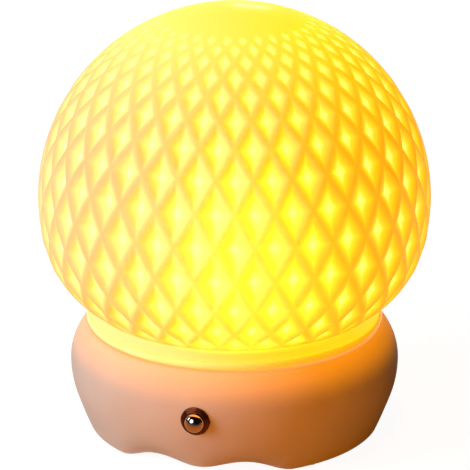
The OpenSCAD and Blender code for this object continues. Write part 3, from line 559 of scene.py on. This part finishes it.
def make_globe(inside):
    """Join the outside, the inside, their two points on the axis and the flat edge that rests on the ring."""
    outer = np.arange(outside.shape[0] * GLOBE_COLUMNS).reshape(outside.shape[:2])
    inner = outer.size + np.arange(inside.shape[0] * INNER_COLUMNS).reshape(inside.shape[:2])
    poles = outer.size + inner.size + np.arange(2)
    tops = np.array([[0.0, 0.0, GLOBE_Z + GLOBE_R], [0.0, 0.0, GLOBE_Z + GLOBE_R - INNER_INSET]])
    points = np.concatenate([outside.reshape(-1, 3), inside.reshape(-1, 3), tops])
    step = GLOBE_COLUMNS // INNER_COLUMNS
    foot = inner[-1]
    foot_ahead = np.roll(foot, -1)
    rim = outer[0].reshape(INNER_COLUMNS, step)
    rim_ahead = np.roll(outer[0], -1).reshape(INNER_COLUMNS, step)
    fan = np.stack([rim, np.repeat(foot[:, None], step, axis=1), rim_ahead], axis=-1).reshape(-1, 3)
    close = np.stack([foot, foot_ahead, rim_ahead[:, -1]], axis=-1)
    faces = [facet_faces(outer[:-1], outer[1:], rising), pole_faces(outer[-1], poles[0], True),
             ring_faces(inner[:-1], inner[1:]), pole_faces(inner[0], poles[1], False), fan, close]
    shares = np.concatenate([share.ravel(), np.zeros(inner.size), [CAP_SHARE, 0.0]])
    stars = np.concatenate([pale.ravel(), np.zeros(inner.size + 2)])
    outer_skin = np.concatenate([np.ones(outer.size), np.zeros(inner.size), [1.0, 0.0]])
    return make_mesh("diamond_globe", points, faces, {"cell": shares, "star": stars, "outer": outer_skin})


globe = make_globe(globe_inside())
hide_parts("shade_globe")
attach(globe, "shade")
print("globe:", len(globe.data.polygons), "faces")

# %% [markdown]
# ## The push-button
# A small panel switch: a turned bezel in three steps, and a polished dome that slides in it. Both are turned
# shapes, so a profile with rounded corners is carried round the button's axis. The rounding matters: an edge
# with no round catches no light, and polished metal then looks like paper.

# %% Bezel and dome
BUTTON_COLUMNS, CORNER_STEPS, DOME_ROWS, METAL_EDGE = 128, 5, 40, 40.0
# Corners of the bezel's profile: the radius, the way inwards from the flat, and how much is rounded off.
BEZEL = [(4.0, -2.3, 0.1), (4.75, -2.3, 0.18), (4.75, -1.65, 0.08), (5.25, -1.65, 0.18),
         (5.25, -1.0, 0.08), (5.75, -1.0, 0.22), (5.75, -0.3, 0.05), (4.95, -0.3, 0.0),
         (4.95, 17.0, 0.1), (4.3, 17.0, 0.0), (4.3, 9.4, 0.0), (2.05, 9.4, 0.0),
         (2.05, 8.4, 0.0), (4.3, 8.4, 0.0), (4.3, 2.1, 0.0), (4.0, 2.1, 0.0)]
profile = rounded(BEZEL, CORNER_STEPS)
points = turned(profile, BUTTON_COLUMNS, along_button).reshape(-1, 3)
bezel = make_mesh("stepped_bezel", points, [loop_faces(len(profile), BUTTON_COLUMNS)], None, METAL_EDGE)
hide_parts("switch_barrel")
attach(bezel, "base")

DOME_R, DOME_H, DOME_W = 3.95, 2.96, -2.3
FLANGE_R, FLANGE_FROM, FLANGE_TO = 4.25, 2.15, 3.15
STEM_R, STEM_TO = 2.0, 12.0
lat = np.linspace(0.0, math.pi / 2.0, DOME_ROWS)[1:]
ball = np.stack([DOME_R * np.sin(lat), DOME_W - DOME_H * np.cos(lat)], axis=-1)
skirt = np.array([[DOME_R, FLANGE_FROM], [FLANGE_R, FLANGE_FROM], [FLANGE_R, FLANGE_TO],
                  [STEM_R, FLANGE_TO], [STEM_R, STEM_TO]])
profile = np.concatenate([ball, skirt])
points = turned(profile, BUTTON_COLUMNS, along_button).reshape(-1, 3)
numbers = np.arange(len(points)).reshape(len(profile), BUTTON_COLUMNS)
ends = np.array([[0.0, PANEL_Y + DOME_W - DOME_H, SWITCH_Z], [0.0, PANEL_Y + STEM_TO, SWITCH_Z]])
faces = [ring_faces(numbers[:-1], numbers[1:]), pole_faces(numbers[0], len(points), False),
         pole_faces(numbers[-1], len(points) + 1, True)]
dome = make_mesh("button_ball", np.concatenate([points, ends]), faces, None, METAL_EDGE)
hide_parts("button_dome")
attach(dome, "button")
print("bezel", len(bezel.data.polygons), "faces, ball", len(dome.data.polygons), "faces")

# %% [markdown]
# ## The return spring
# A spring of round wire sits behind the dome. It is a circle carried along a helix. When the button is
# pressed the spring shortens towards the web behind it.

# %% Return spring
SPRING_R, WIRE_R, SPRING_TURNS = 3.05, 0.25, 5
SPRING_FROM, SPRING_TO, WEB_W = 3.5, 8.05, 8.4
STEPS_PER_TURN, WIRE_SIDES, WIRE_EDGE = 48, 12, 60.0
turn = np.linspace(0.0, 2.0 * np.pi * SPRING_TURNS, STEPS_PER_TURN * SPRING_TURNS + 1)[:, None]
wire = np.linspace(0.0, 2.0 * np.pi, WIRE_SIDES, endpoint=False)[None, :]
coil_w = SPRING_FROM + (SPRING_TO - SPRING_FROM) * turn / turn[-1] + WIRE_R * np.sin(wire)
coil = np.stack(along_button(SPRING_R + WIRE_R * np.cos(wire), coil_w, -turn), axis=-1)
numbers = np.arange(coil.shape[0] * coil.shape[1]).reshape(coil.shape[:2])
faces = [ring_faces(numbers[:-1], numbers[1:]), numbers[:1, ::-1], numbers[-1:]]
spring = make_mesh("return_spring", coil.reshape(-1, 3), faces, None, WIRE_EDGE)
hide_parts("switch_spring")
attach(spring, "base")
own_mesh(spring)

# %% [markdown]
# ## Peach ABS of the base
# Moulded ABS with a fine spark-eroded texture: the gloss is broken up, so the shell looks soft and matt,
# with only a broad sheen. The texture's grain is about half a millimetre. A slow, weak mottling of the colour
# keeps the large plain wall from looking like paint. A painted deep orange glow is added to the shell, faint
# all over and strongest along its rim: it stands in for the lamp's light falling on the shoulder.

# %% Peach ABS, spark-eroded
peach, tree, place, shader = begin("peach_abs_spark_eroded")
grain = add(tree, "ShaderNodeTexNoise", None, {"Vector": place, "Scale": 1.0 / (0.45 * MM), "Detail": 3.0})
mottle = add(tree, "ShaderNodeTexNoise", None, {"Vector": place, "Scale": 1.0 / (16.0 * MM), "Detail": 2.0})
tint = add(tree, "ShaderNodeMix", {"data_type": "RGBA"},
           {"Factor": mottle.outputs["Fac"], "A": linear("#c8aea0"), "B": linear("#d1b9ac")})
dull = add(tree, "ShaderNodeMapRange", None, {"Value": grain.outputs["Fac"], "To Min": 0.5, "To Max": 0.66})
bump = add(tree, "ShaderNodeBump", None,
           {"Height": grain.outputs["Fac"], "Strength": 0.25, "Distance": 0.06 * MM})
height = add(tree, "ShaderNodeSeparateXYZ", None, {"Vector": place}).outputs["Z"]
# Painted glow: orange emission that rises towards the rim, standing in for the lamp's light on the shoulder.
painted_rim_glow = add(tree, "ShaderNodeMapRange", {"interpolation_type": "SMOOTHSTEP"},
               {"Value": height, "From Min": 30.0 * MM, "From Max": BASE_H * MM,
                "To Min": 0.012, "To Max": 0.5})
plug(tree, shader, {"Base Color": tint.outputs["Result"], "Roughness": dull.outputs["Result"],
                    "Normal": bump.outputs["Normal"], "IOR": 1.54, "Specular IOR Level": 0.03,
                    "Emission Color": linear("#ff9900"), "Emission Strength": painted_rim_glow.outputs["Result"]})
base_shell.data.materials.append(peach)
print("finish:", peach.name)

# %% [markdown]
# ## Lit opal shade
# The globe is opal acrylic lit by warm diodes. Where the wall is thin, in the middle of a diamond, more light
# gets through and it is paler; the thick ribs keep back the blue and look amber. The mesh carries the depth
# of the pattern as the attribute "cell", the pale middles as "star" and the outer skin as "outer", so colour
# and glow follow the real wall. The star's four rays along the diamonds' diagonals are a painted highlight of
# the creases, added to the glow. Part of the shader lets light through with a wide blur, which shows the lit
# thimble inside as a soft bright column from any side. Met from within, both walls are plain and yellow, so
# nothing behind the lamp shows through the globe.

# %% Opal acrylic, lit
opal, tree, place, shader = begin("opal_acrylic_lit")
cell = add(tree, "ShaderNodeAttribute", {"attribute_name": "cell"}).outputs["Fac"]
star = add(tree, "ShaderNodeAttribute", {"attribute_name": "star"}).outputs["Fac"]
outer = add(tree, "ShaderNodeAttribute", {"attribute_name": "outer"}).outputs["Fac"]
cloud = add(tree, "ShaderNodeTexNoise", None, {"Vector": place, "Scale": 1.0 / (6.0 * MM), "Detail": 2.0})
skin_tint = add(tree, "ShaderNodeMix", {"data_type": "RGBA"},
                {"Factor": cell, "A": linear("#e2a2a5"), "B": linear("#f4ccd6")})
ramp = add(tree, "ShaderNodeValToRGB", None, {"Fac": cell})
GLOW = ((0.0, "#f18600"), (0.05, "#f39300"), (0.17, "#f6a201"), (0.42, "#f9b501"), (0.75, "#ffc803"),
        (1.0, "#ffd70a"))
for spot, _ in GLOW[1:-1]:
    ramp.color_ramp.elements.new(spot)
for stop, (spot, colour) in zip(ramp.color_ramp.elements, GLOW):
    stop.position, stop.color = spot, linear(colour)
glow = add(tree, "ShaderNodeMix", {"data_type": "RGBA"},
           {"Factor": star, "A": ramp.outputs["Color"], "B": linear("#ffff89")})
behind = add(tree, "ShaderNodeNewGeometry").outputs["Backfacing"]
room_tint = add(tree, "ShaderNodeMix", {"data_type": "RGBA"},
                {"Factor": behind, "A": linear("#efb818"), "B": linear("#ffffff")})
wall_tint = add(tree, "ShaderNodeMix", {"data_type": "RGBA"},
                {"Factor": outer, "A": room_tint.outputs["Result"], "B": skin_tint.outputs["Result"]})
through = add(tree, "ShaderNodeMapRange", None, {"Value": cell, "To Min": 0.34, "To Max": 0.54})
inward = add(tree, "ShaderNodeMath", {"operation": "SUBTRACT"}, {0: 1.0, 1: behind})
skin_pass = add(tree, "ShaderNodeMath", {"operation": "MULTIPLY"},
                {0: through.outputs["Result"], 1: inward.outputs["Value"]})
passing = add(tree, "ShaderNodeMix", {"data_type": "FLOAT"},
              {"Factor": outer, "A": behind, "B": skin_pass.outputs["Value"]})
bump = add(tree, "ShaderNodeBump", None,
           {"Height": cloud.outputs["Fac"], "Strength": 0.06, "Distance": 0.1 * MM})
plug(tree, shader, {"Base Color": wall_tint.outputs["Result"], "Roughness": 0.75, "IOR": 1.45,
                    "Specular IOR Level": 0.15, "Coat Weight": 0.15, "Coat Roughness": 0.2,
                    "Transmission Weight": passing.outputs["Result"],
                    "Emission Color": glow.outputs["Result"], "Emission Strength": outer,
                    "Normal": bump.outputs["Normal"]})
globe.data.materials.append(opal)
print("finish:", opal.name)

# %% [markdown]
# ## The other finishes
# The ring, the thimble, the metals and everything inside get their own finishes. Most of them are one recipe
# with other numbers: a grain of a real size that varies the colour, the gloss and the height a little, which
# is what a moulded, plated or printed surface does.


# %% Recipe for a grained surface
def grained(name, dark, pale, grain_mm, rough, bump_mm, **more):
    """A finish whose grain mixes two close colours, spreads the roughness and lifts the surface."""
    material, tree, place, shader = begin(name)
    grain = add(tree, "ShaderNodeTexNoise", None,
                {"Vector": place, "Scale": 1.0 / (grain_mm * MM), "Detail": 3.0})
    tint = add(tree, "ShaderNodeMix", {"data_type": "RGBA"},
               {"Factor": grain.outputs["Fac"], "A": linear(dark), "B": linear(pale)})
    dull = add(tree, "ShaderNodeMapRange", None,
               {"Value": grain.outputs["Fac"], "To Min": rough[0], "To Max": rough[1]})
    bump = add(tree, "ShaderNodeBump", None,
               {"Height": grain.outputs["Fac"], "Strength": 0.3, "Distance": bump_mm * MM})
    plug(tree, shader, {"Base Color": tint.outputs["Result"], "Roughness": dull.outputs["Result"],
                        "Normal": bump.outputs["Normal"], **more})
    return material


def dress(material, *nodes):
    """Put a finish on CAD nodes, in every material slot they have."""
    for name in nodes:
        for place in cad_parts[name].material_slots:
            place.material = material


print("recipe ready")

# %% [markdown]
# ## Metals
# Plated, drawn and bare metal differ in tint and in how far their fine marks blur a reflection.

# %% Metals
# Bronze-tinted chrome on zinc, polished: a warm mirror with faint hairlines in its gloss.
chrome = grained("bronze_chrome_polished", "#d9c6b4", "#e2d1c0", 0.6, (0.05, 0.09), 0.002, Metallic=1.0)
dome.data.materials.append(chrome)
# The same plating on the turned bezel, with its turning marks still in it, painted darker as shade: a shaded
# copy of the dome's chrome.
bronze = grained("bronze_chrome_turned_painted_dark", "#7c4f35", "#8a5a3e", 0.4, (0.16, 0.26), 0.004, Metallic=1.0)
bezel.data.materials.append(bronze)
# Zinc-plated steel of screws, nut, washer, contacts and the inlet's shell: grey, with a dull sparkle.
zinc = grained("steel_zinc_plated", "#a9adb2", "#c3c6ca", 0.5, (0.22, 0.38), 0.006, Metallic=1.0)
dress(zinc, "plate_screws", "led_screws", "switch_washer", "switch_nut", "holder_contacts", "holder_screws",
      "board_screws", "usb_socket")
# Drawn spring steel: a little darker, with the fine marks of the die.
spring_steel = grained("spring_steel_drawn", "#9a9da2", "#b6b9bd", 0.2, (0.25, 0.4), 0.003, Metallic=1.0)
spring.data.materials.append(spring_steel)
# Brass of the switch's contacts, bare.
dress(grained("brass_bare", "#b8913f", "#d0aa58", 0.4, (0.25, 0.4), 0.004, Metallic=1.0),
      "switch_terminals", "contact_bridge")
print("metals finished:", len(bpy.data.materials), "materials so far")

# %% [markdown]
# ## Parts that shine
# The diodes light the thimble, the thimble lights the globe and the ring, and the gasket below the bead
# has a painted glow, as if it caught what is left. Each is an ordinary finish that also gives off light of
# its own colour.

# %% Lit parts
# Opal acrylic ring, lit from the sleeve: as the globe's wall, but without diamonds.
ring_opal = grained("opal_acrylic_ring_lit", "#ffdf9a", "#ffe9b4", 8.0, (0.14, 0.22), 0.01,
                    **{"IOR": 1.49, "Specular IOR Level": 0.2, "Emission Color": linear("#ffb802"),
                       "Emission Strength": 0.5})
dress(ring_opal, "shade_ring")
# Frosted thimble over the diodes: the light source itself.
thimble = grained("frosted_acrylic_thimble_lit", "#fff1d2", "#fff8e6", 3.0, (0.5, 0.6), 0.02,
                  **{"Emission Color": linear("#ffed30"), "Emission Strength": 6.0})
dress(thimble, "led_diffuser")
# Phosphor caps of the diodes: yellow and lit.
phosphor = grained("diode_phosphor_lit", "#ffd060", "#ffdc80", 0.5, (0.4, 0.5), 0.02,
                   **{"Emission Color": linear("#ffdd95"), "Emission Strength": 6.0})
dress(phosphor, "led_chips")
# The gasket's silicone, coloured brown as a painted shadow line under the bead, with a painted orange glow on
# it.
gasket = grained("silicone_gasket_painted_shadow_glow", "#b98461", "#c48f6b", 0.8, (0.6, 0.7), 0.02,
                 **{"Emission Color": linear("#ffb165"), "Emission Strength": 0.6})
dress(gasket, "shade_gasket")
print("lit parts finished:", len(bpy.data.materials), "materials so far")

# %% [markdown]
# ## Plastics, rubbers and boards
# These are inside or underneath. Each keeps the grain and gloss of its own material.

# %% Plastics, rubbers and boards
# White ABS of the deck, smooth and reflecting.
dress(grained("white_abs_moulded", "#ece8de", "#f4f1e9", 0.6, (0.42, 0.52), 0.02), "lamp_deck", "led_board")
# Grey-beige ABS of the bottom cover, spark-eroded.
dress(grained("beige_abs_spark_eroded", "#cfc8bf", "#dad4cb", 0.5, (0.55, 0.7), 0.06), "base_plate")
# Silicone of the pads: soft, slightly milky.
dress(grained("silicone_moulded", "#ddd8cf", "#e8e3da", 0.8, (0.55, 0.65), 0.02), "hem_pads")
# Black rubber of the grommet and the seal.
dress(grained("rubber_moulded_black", "#1d1c1b", "#292725", 0.5, (0.6, 0.75), 0.03),
      "lead_grommet", "switch_seal")
# Black ABS of the cell's tray, the insulator, the chips and the inlet's tongue.
black = grained("black_abs_moulded", "#161617", "#222224", 0.4, (0.4, 0.55), 0.03)
dress(black, "battery_holder", "switch_insulator", "board_chips", "usb_tongue")
# Shrink wrap of the cell: green, glossy.
dress(grained("cell_shrink_wrap", "#37684c", "#447a5b", 4.0, (0.25, 0.32), 0.02), "battery_cell")
# Green solder mask of the control board.
dress(grained("solder_mask_green", "#1c5138", "#256244", 1.2, (0.3, 0.4), 0.01), "control_board")
# Silicone insulation of the three pairs of leads.
for name, dark, pale, node in (("lead_silicone_red", "#a82a20", "#bb382c", "led_leads"),
                               ("lead_silicone_yellow", "#cfae36", "#dfc04a", "switch_leads"),
                               ("lead_silicone_black", "#1f1e1e", "#2b2a29", "battery_leads")):
    dress(grained(name, dark, pale, 0.4, (0.45, 0.55), 0.02), node)
print("small parts finished:", len(bpy.data.materials), "materials")

# %% [markdown]
# ## Floor
# The lamp stands on a pale paper sweep. To the camera, in reflections and through the shade the sheet is
# close to white of its own; for all other light it is a plain grey sheet, so the lamp's shadow and the warm
# pool of its light still show on it.


# %% Floor
def white_rays(tree):
    """1 for rays from the camera, from a reflection or through the shade, and 0 for the others."""
    path = add(tree, "ShaderNodeLightPath").outputs
    pair = add(tree, "ShaderNodeMath", {"operation": "MAXIMUM"},
               {0: path["Is Camera Ray"], 1: path["Is Glossy Ray"]})
    three = add(tree, "ShaderNodeMath", {"operation": "MAXIMUM"},
                {0: pair.outputs["Value"], 1: path["Is Transmission Ray"]})
    return three.outputs["Value"]


FLOOR_HALF, FLOOR_SHINE = 3.0, 0.94
corners = np.array([[-1.0, -1.0, 0.0], [1.0, -1.0, 0.0], [1.0, 1.0, 0.0], [-1.0, 1.0, 0.0]])
floor = make_mesh("floor", corners * FLOOR_HALF / MM, [np.arange(4)[None, :]])
# Matt white paper: a soft, even sheet with a faint cloudiness of its fibres.
paper, tree = blank("white_paper_sweep")
place = add(tree, "ShaderNodeTexCoord").outputs["Object"]
fibre = add(tree, "ShaderNodeTexNoise", None, {"Vector": place, "Scale": 1.0 / (40.0 * MM)})
sheet = add(tree, "ShaderNodeMix", {"data_type": "RGBA"},
            {"Factor": fibre.outputs["Fac"], "A": linear("#7d7d7c"), "B": linear("#828281")})
matt = add(tree, "ShaderNodeBsdfDiffuse", None, {"Color": sheet.outputs["Result"]})
seen = add(tree, "ShaderNodeMapRange", None,
           {"Value": white_rays(tree), "To Min": 0.0, "To Max": FLOOR_SHINE})
shine = add(tree, "ShaderNodeEmission", None,
            {"Color": linear("#ffffff"), "Strength": seen.outputs["Result"]})
both = add(tree, "ShaderNodeAddShader", None, {0: matt.outputs["BSDF"], 1: shine.outputs["Emission"]})
add(tree, "ShaderNodeOutputMaterial", None, {"Surface": both.outputs["Shader"]})
floor.data.materials.append(paper)
print("floor:", 2.0 * FLOOR_HALF, "m square")

# %% [markdown]
# ## Lights
# A window of two panes on the left is the daylight of the picture. A small warm card low in front stands for
# the light that the table throws back at the base, and a wide, soft light from behind keeps the back of the
# base readable. Three more are seen in reflections only: two make the window's twin glints on the button's
# dome, and one makes the pale spot on the cap. The lamp's own glow does the rest.


# %% Lights
def facing_lamp(turn, lift):
    """Three directions for something that faces the lamp from an angle off the camera's side (turn, + to the
    right) and above the floor (lift): across it, up it, and out from the lamp towards it."""
    bearing = CAMERA_TURN + math.radians(turn)
    rise = math.radians(lift)
    out = np.array([math.sin(bearing) * math.cos(rise), -math.cos(bearing) * math.cos(rise), math.sin(rise)])
    side = np.cross([0.0, 0.0, 1.0], out)
    side = side / np.linalg.norm(side)
    return side, np.cross(out, side), out


def only_in_gloss(prop):
    """A studio prop that only reflections see."""
    for sight in ("visible_camera", "visible_diffuse", "visible_transmission", "visible_shadow"):
        setattr(prop, sight, False)


def soft_light(name, turn, lift, distance, size, watts, colour, aim=90.0, spread=180.0):
    """A rectangular light turned to the lamp, aimed at a height in millimetres on its axis, with its light
    inside the spread."""
    data = bpy.data.lights.new(name, "AREA")
    data.shape = "RECTANGLE"
    data.size, data.size_y = size
    data.energy = watts
    data.color = linear(colour)[:3]
    data.spread = math.radians(spread)
    light = bpy.data.objects.new(name, data)
    bpy.context.scene.collection.objects.link(light)
    side, up, out = facing_lamp(turn, lift)
    spot = np.eye(4)
    spot[:3, 0], spot[:3, 1], spot[:3, 2] = side, up, out
    spot[:3, 3] = out * distance + np.array([0.0, 0.0, aim * MM])
    light.matrix_world = Matrix(spot.tolist())
    return light


PANE, PANE_LIFT, PANE_AWAY, PANE_WATTS = (0.35, 1.0), 16.0, 1.4, 10.3
for name, turn in (("window_pane_left", -84.0), ("window_pane_right", -66.0)):
    soft_light(name, turn, PANE_LIFT, PANE_AWAY, PANE, PANE_WATTS, "#ffffff").visible_glossy = False
soft_light("warm_card", 6.0, 3.0, 0.38, (0.16, 0.12), 0.18, "#ff9c00", 14.0, 80.0).visible_glossy = False
soft_light("back_fill", 178.0, 5.0, 1.3, (0.9, 0.5), 9.0, "#ffffff", 60.0).visible_glossy = False
GLINT_AWAY = 0.95
for name, turn, lift, size, watts in (("glint_left", -81.0, 26.0, (0.17, 0.33), 0.9),
                                      ("glint_right", -37.0, 18.0, (0.45, 0.6), 3.4),
                                      ("cap_glint", 177.0, 21.0, (0.1, 0.08), 0.4)):
    only_in_gloss(soft_light(name, turn, lift, GLINT_AWAY, size, watts, "#ffffff", SWITCH_Z))
print("lights:", ", ".join(light.name for light in bpy.data.lights))

# %% [markdown]
# ## What the gloss reflects
# Polished metal and opal show what stands round them. In the picture the dome mirrors a dark room above and a
# warm table below, so a black cloth hangs all round the lamp and two cards lie in front of it. The nearer one
# glows amber of its own, brightest close to the lamp: a painted pool of the lamp's light on the table. They
# are
# props for reflections alone: nothing else sees them.

# %% Cloth and cards for reflections
FLAG_COLUMNS, FLAG_ROWS = 24, 12


def curved_flag(name, turns, lifts, distance):
    """A patch of a sphere round the lamp, from one turn to another and one lift to another, in degrees."""
    turn, lift = np.meshgrid(np.linspace(*turns, FLAG_COLUMNS), np.linspace(*lifts, FLAG_ROWS))
    bearing, rise = CAMERA_TURN + np.radians(turn), np.radians(lift)
    points = np.stack([np.sin(bearing) * np.cos(rise), -np.cos(bearing) * np.cos(rise), np.sin(rise)],
                      axis=-1)
    numbers = np.arange(turn.size).reshape(turn.shape)
    faces = np.stack([numbers[:-1, :-1], numbers[1:, :-1], numbers[1:, 1:], numbers[:-1, 1:]], axis=-1)
    return make_mesh(name, points.reshape(-1, 3) * distance / MM, [faces.reshape(-1, 4)])


def ground_card(name, near, far):
    """A flat card on the floor before the lamp, from one distance to another, in millimetres."""
    half_wide, lift = 600.0, 0.5
    points = np.array([[-half_wide, -far, lift], [half_wide, -far, lift], [half_wide, -near, lift],
                       [-half_wide, -near, lift]])
    return make_mesh(name, points, [np.arange(4)[None, :]])


CARD_NEAR, CARD_EDGE, CARD_FAR, CARD_BRIGHT_TO = -60.0, 176.0, 1000.0, 60.0
# Black cloth, matt: it gives the metal something dark to mirror.
flag_black = grained("flag_cloth_black", "#050505", "#080808", 20.0, (0.9, 1.0), 0.01)
# Amber card with a painted glow: its own emission, brightest beside the lamp and fading forwards, stands in
# for the lamp's light on the table.
painted_glow_card, tree, place, shader = begin("amber_card_painted_glow")
forward = add(tree, "ShaderNodeSeparateXYZ", None, {"Vector": place}).outputs["Y"]
painted_falloff = add(tree, "ShaderNodeMapRange", None,
               {"Value": forward, "From Min": -CARD_EDGE * MM, "From Max": -CARD_BRIGHT_TO * MM,
                "To Min": 0.12, "To Max": 1.0})
plug(tree, shader, {"Base Color": linear("#140802"), "Roughness": 0.9, "Emission Color": linear("#c27338"),
                    "Emission Strength": painted_falloff.outputs["Result"]})
for prop, finish in ((curved_flag("dark_flag", (-180.0, 180.0), (0.0, 89.0), 1.0), flag_black),
                     (ground_card("dark_ground", CARD_EDGE, CARD_FAR), flag_black),
                     (ground_card("amber_painted_glow_card", CARD_NEAR, CARD_EDGE), painted_glow_card)):
    prop.data.materials.append(finish)
    only_in_gloss(prop)
    print("only in reflections:", prop.name)

# %% [markdown]
# ## Surroundings
# The camera, reflections and rays through the shade find a white surrounding. For all other light the room is
# nearly dark, so that the lamp's own glow keeps its depth.

# %% Surroundings
ROOM_LEVEL = 0.004
world = bpy.data.worlds.new("dim_room")
bpy.context.scene.world = world
world.use_nodes = True
tree = world.node_tree
tree.nodes.clear()
level = add(tree, "ShaderNodeMapRange", None,
            {"Value": white_rays(tree), "To Min": ROOM_LEVEL, "To Max": 1.0})
sky = add(tree, "ShaderNodeBackground", None,
          {"Color": linear("#ffffff"), "Strength": level.outputs["Result"]})
add(tree, "ShaderNodeOutputWorld", None, {"Surface": sky.outputs["Background"]})
print("surroundings:", world.name, "at", ROOM_LEVEL, "for the light that falls on the lamp")
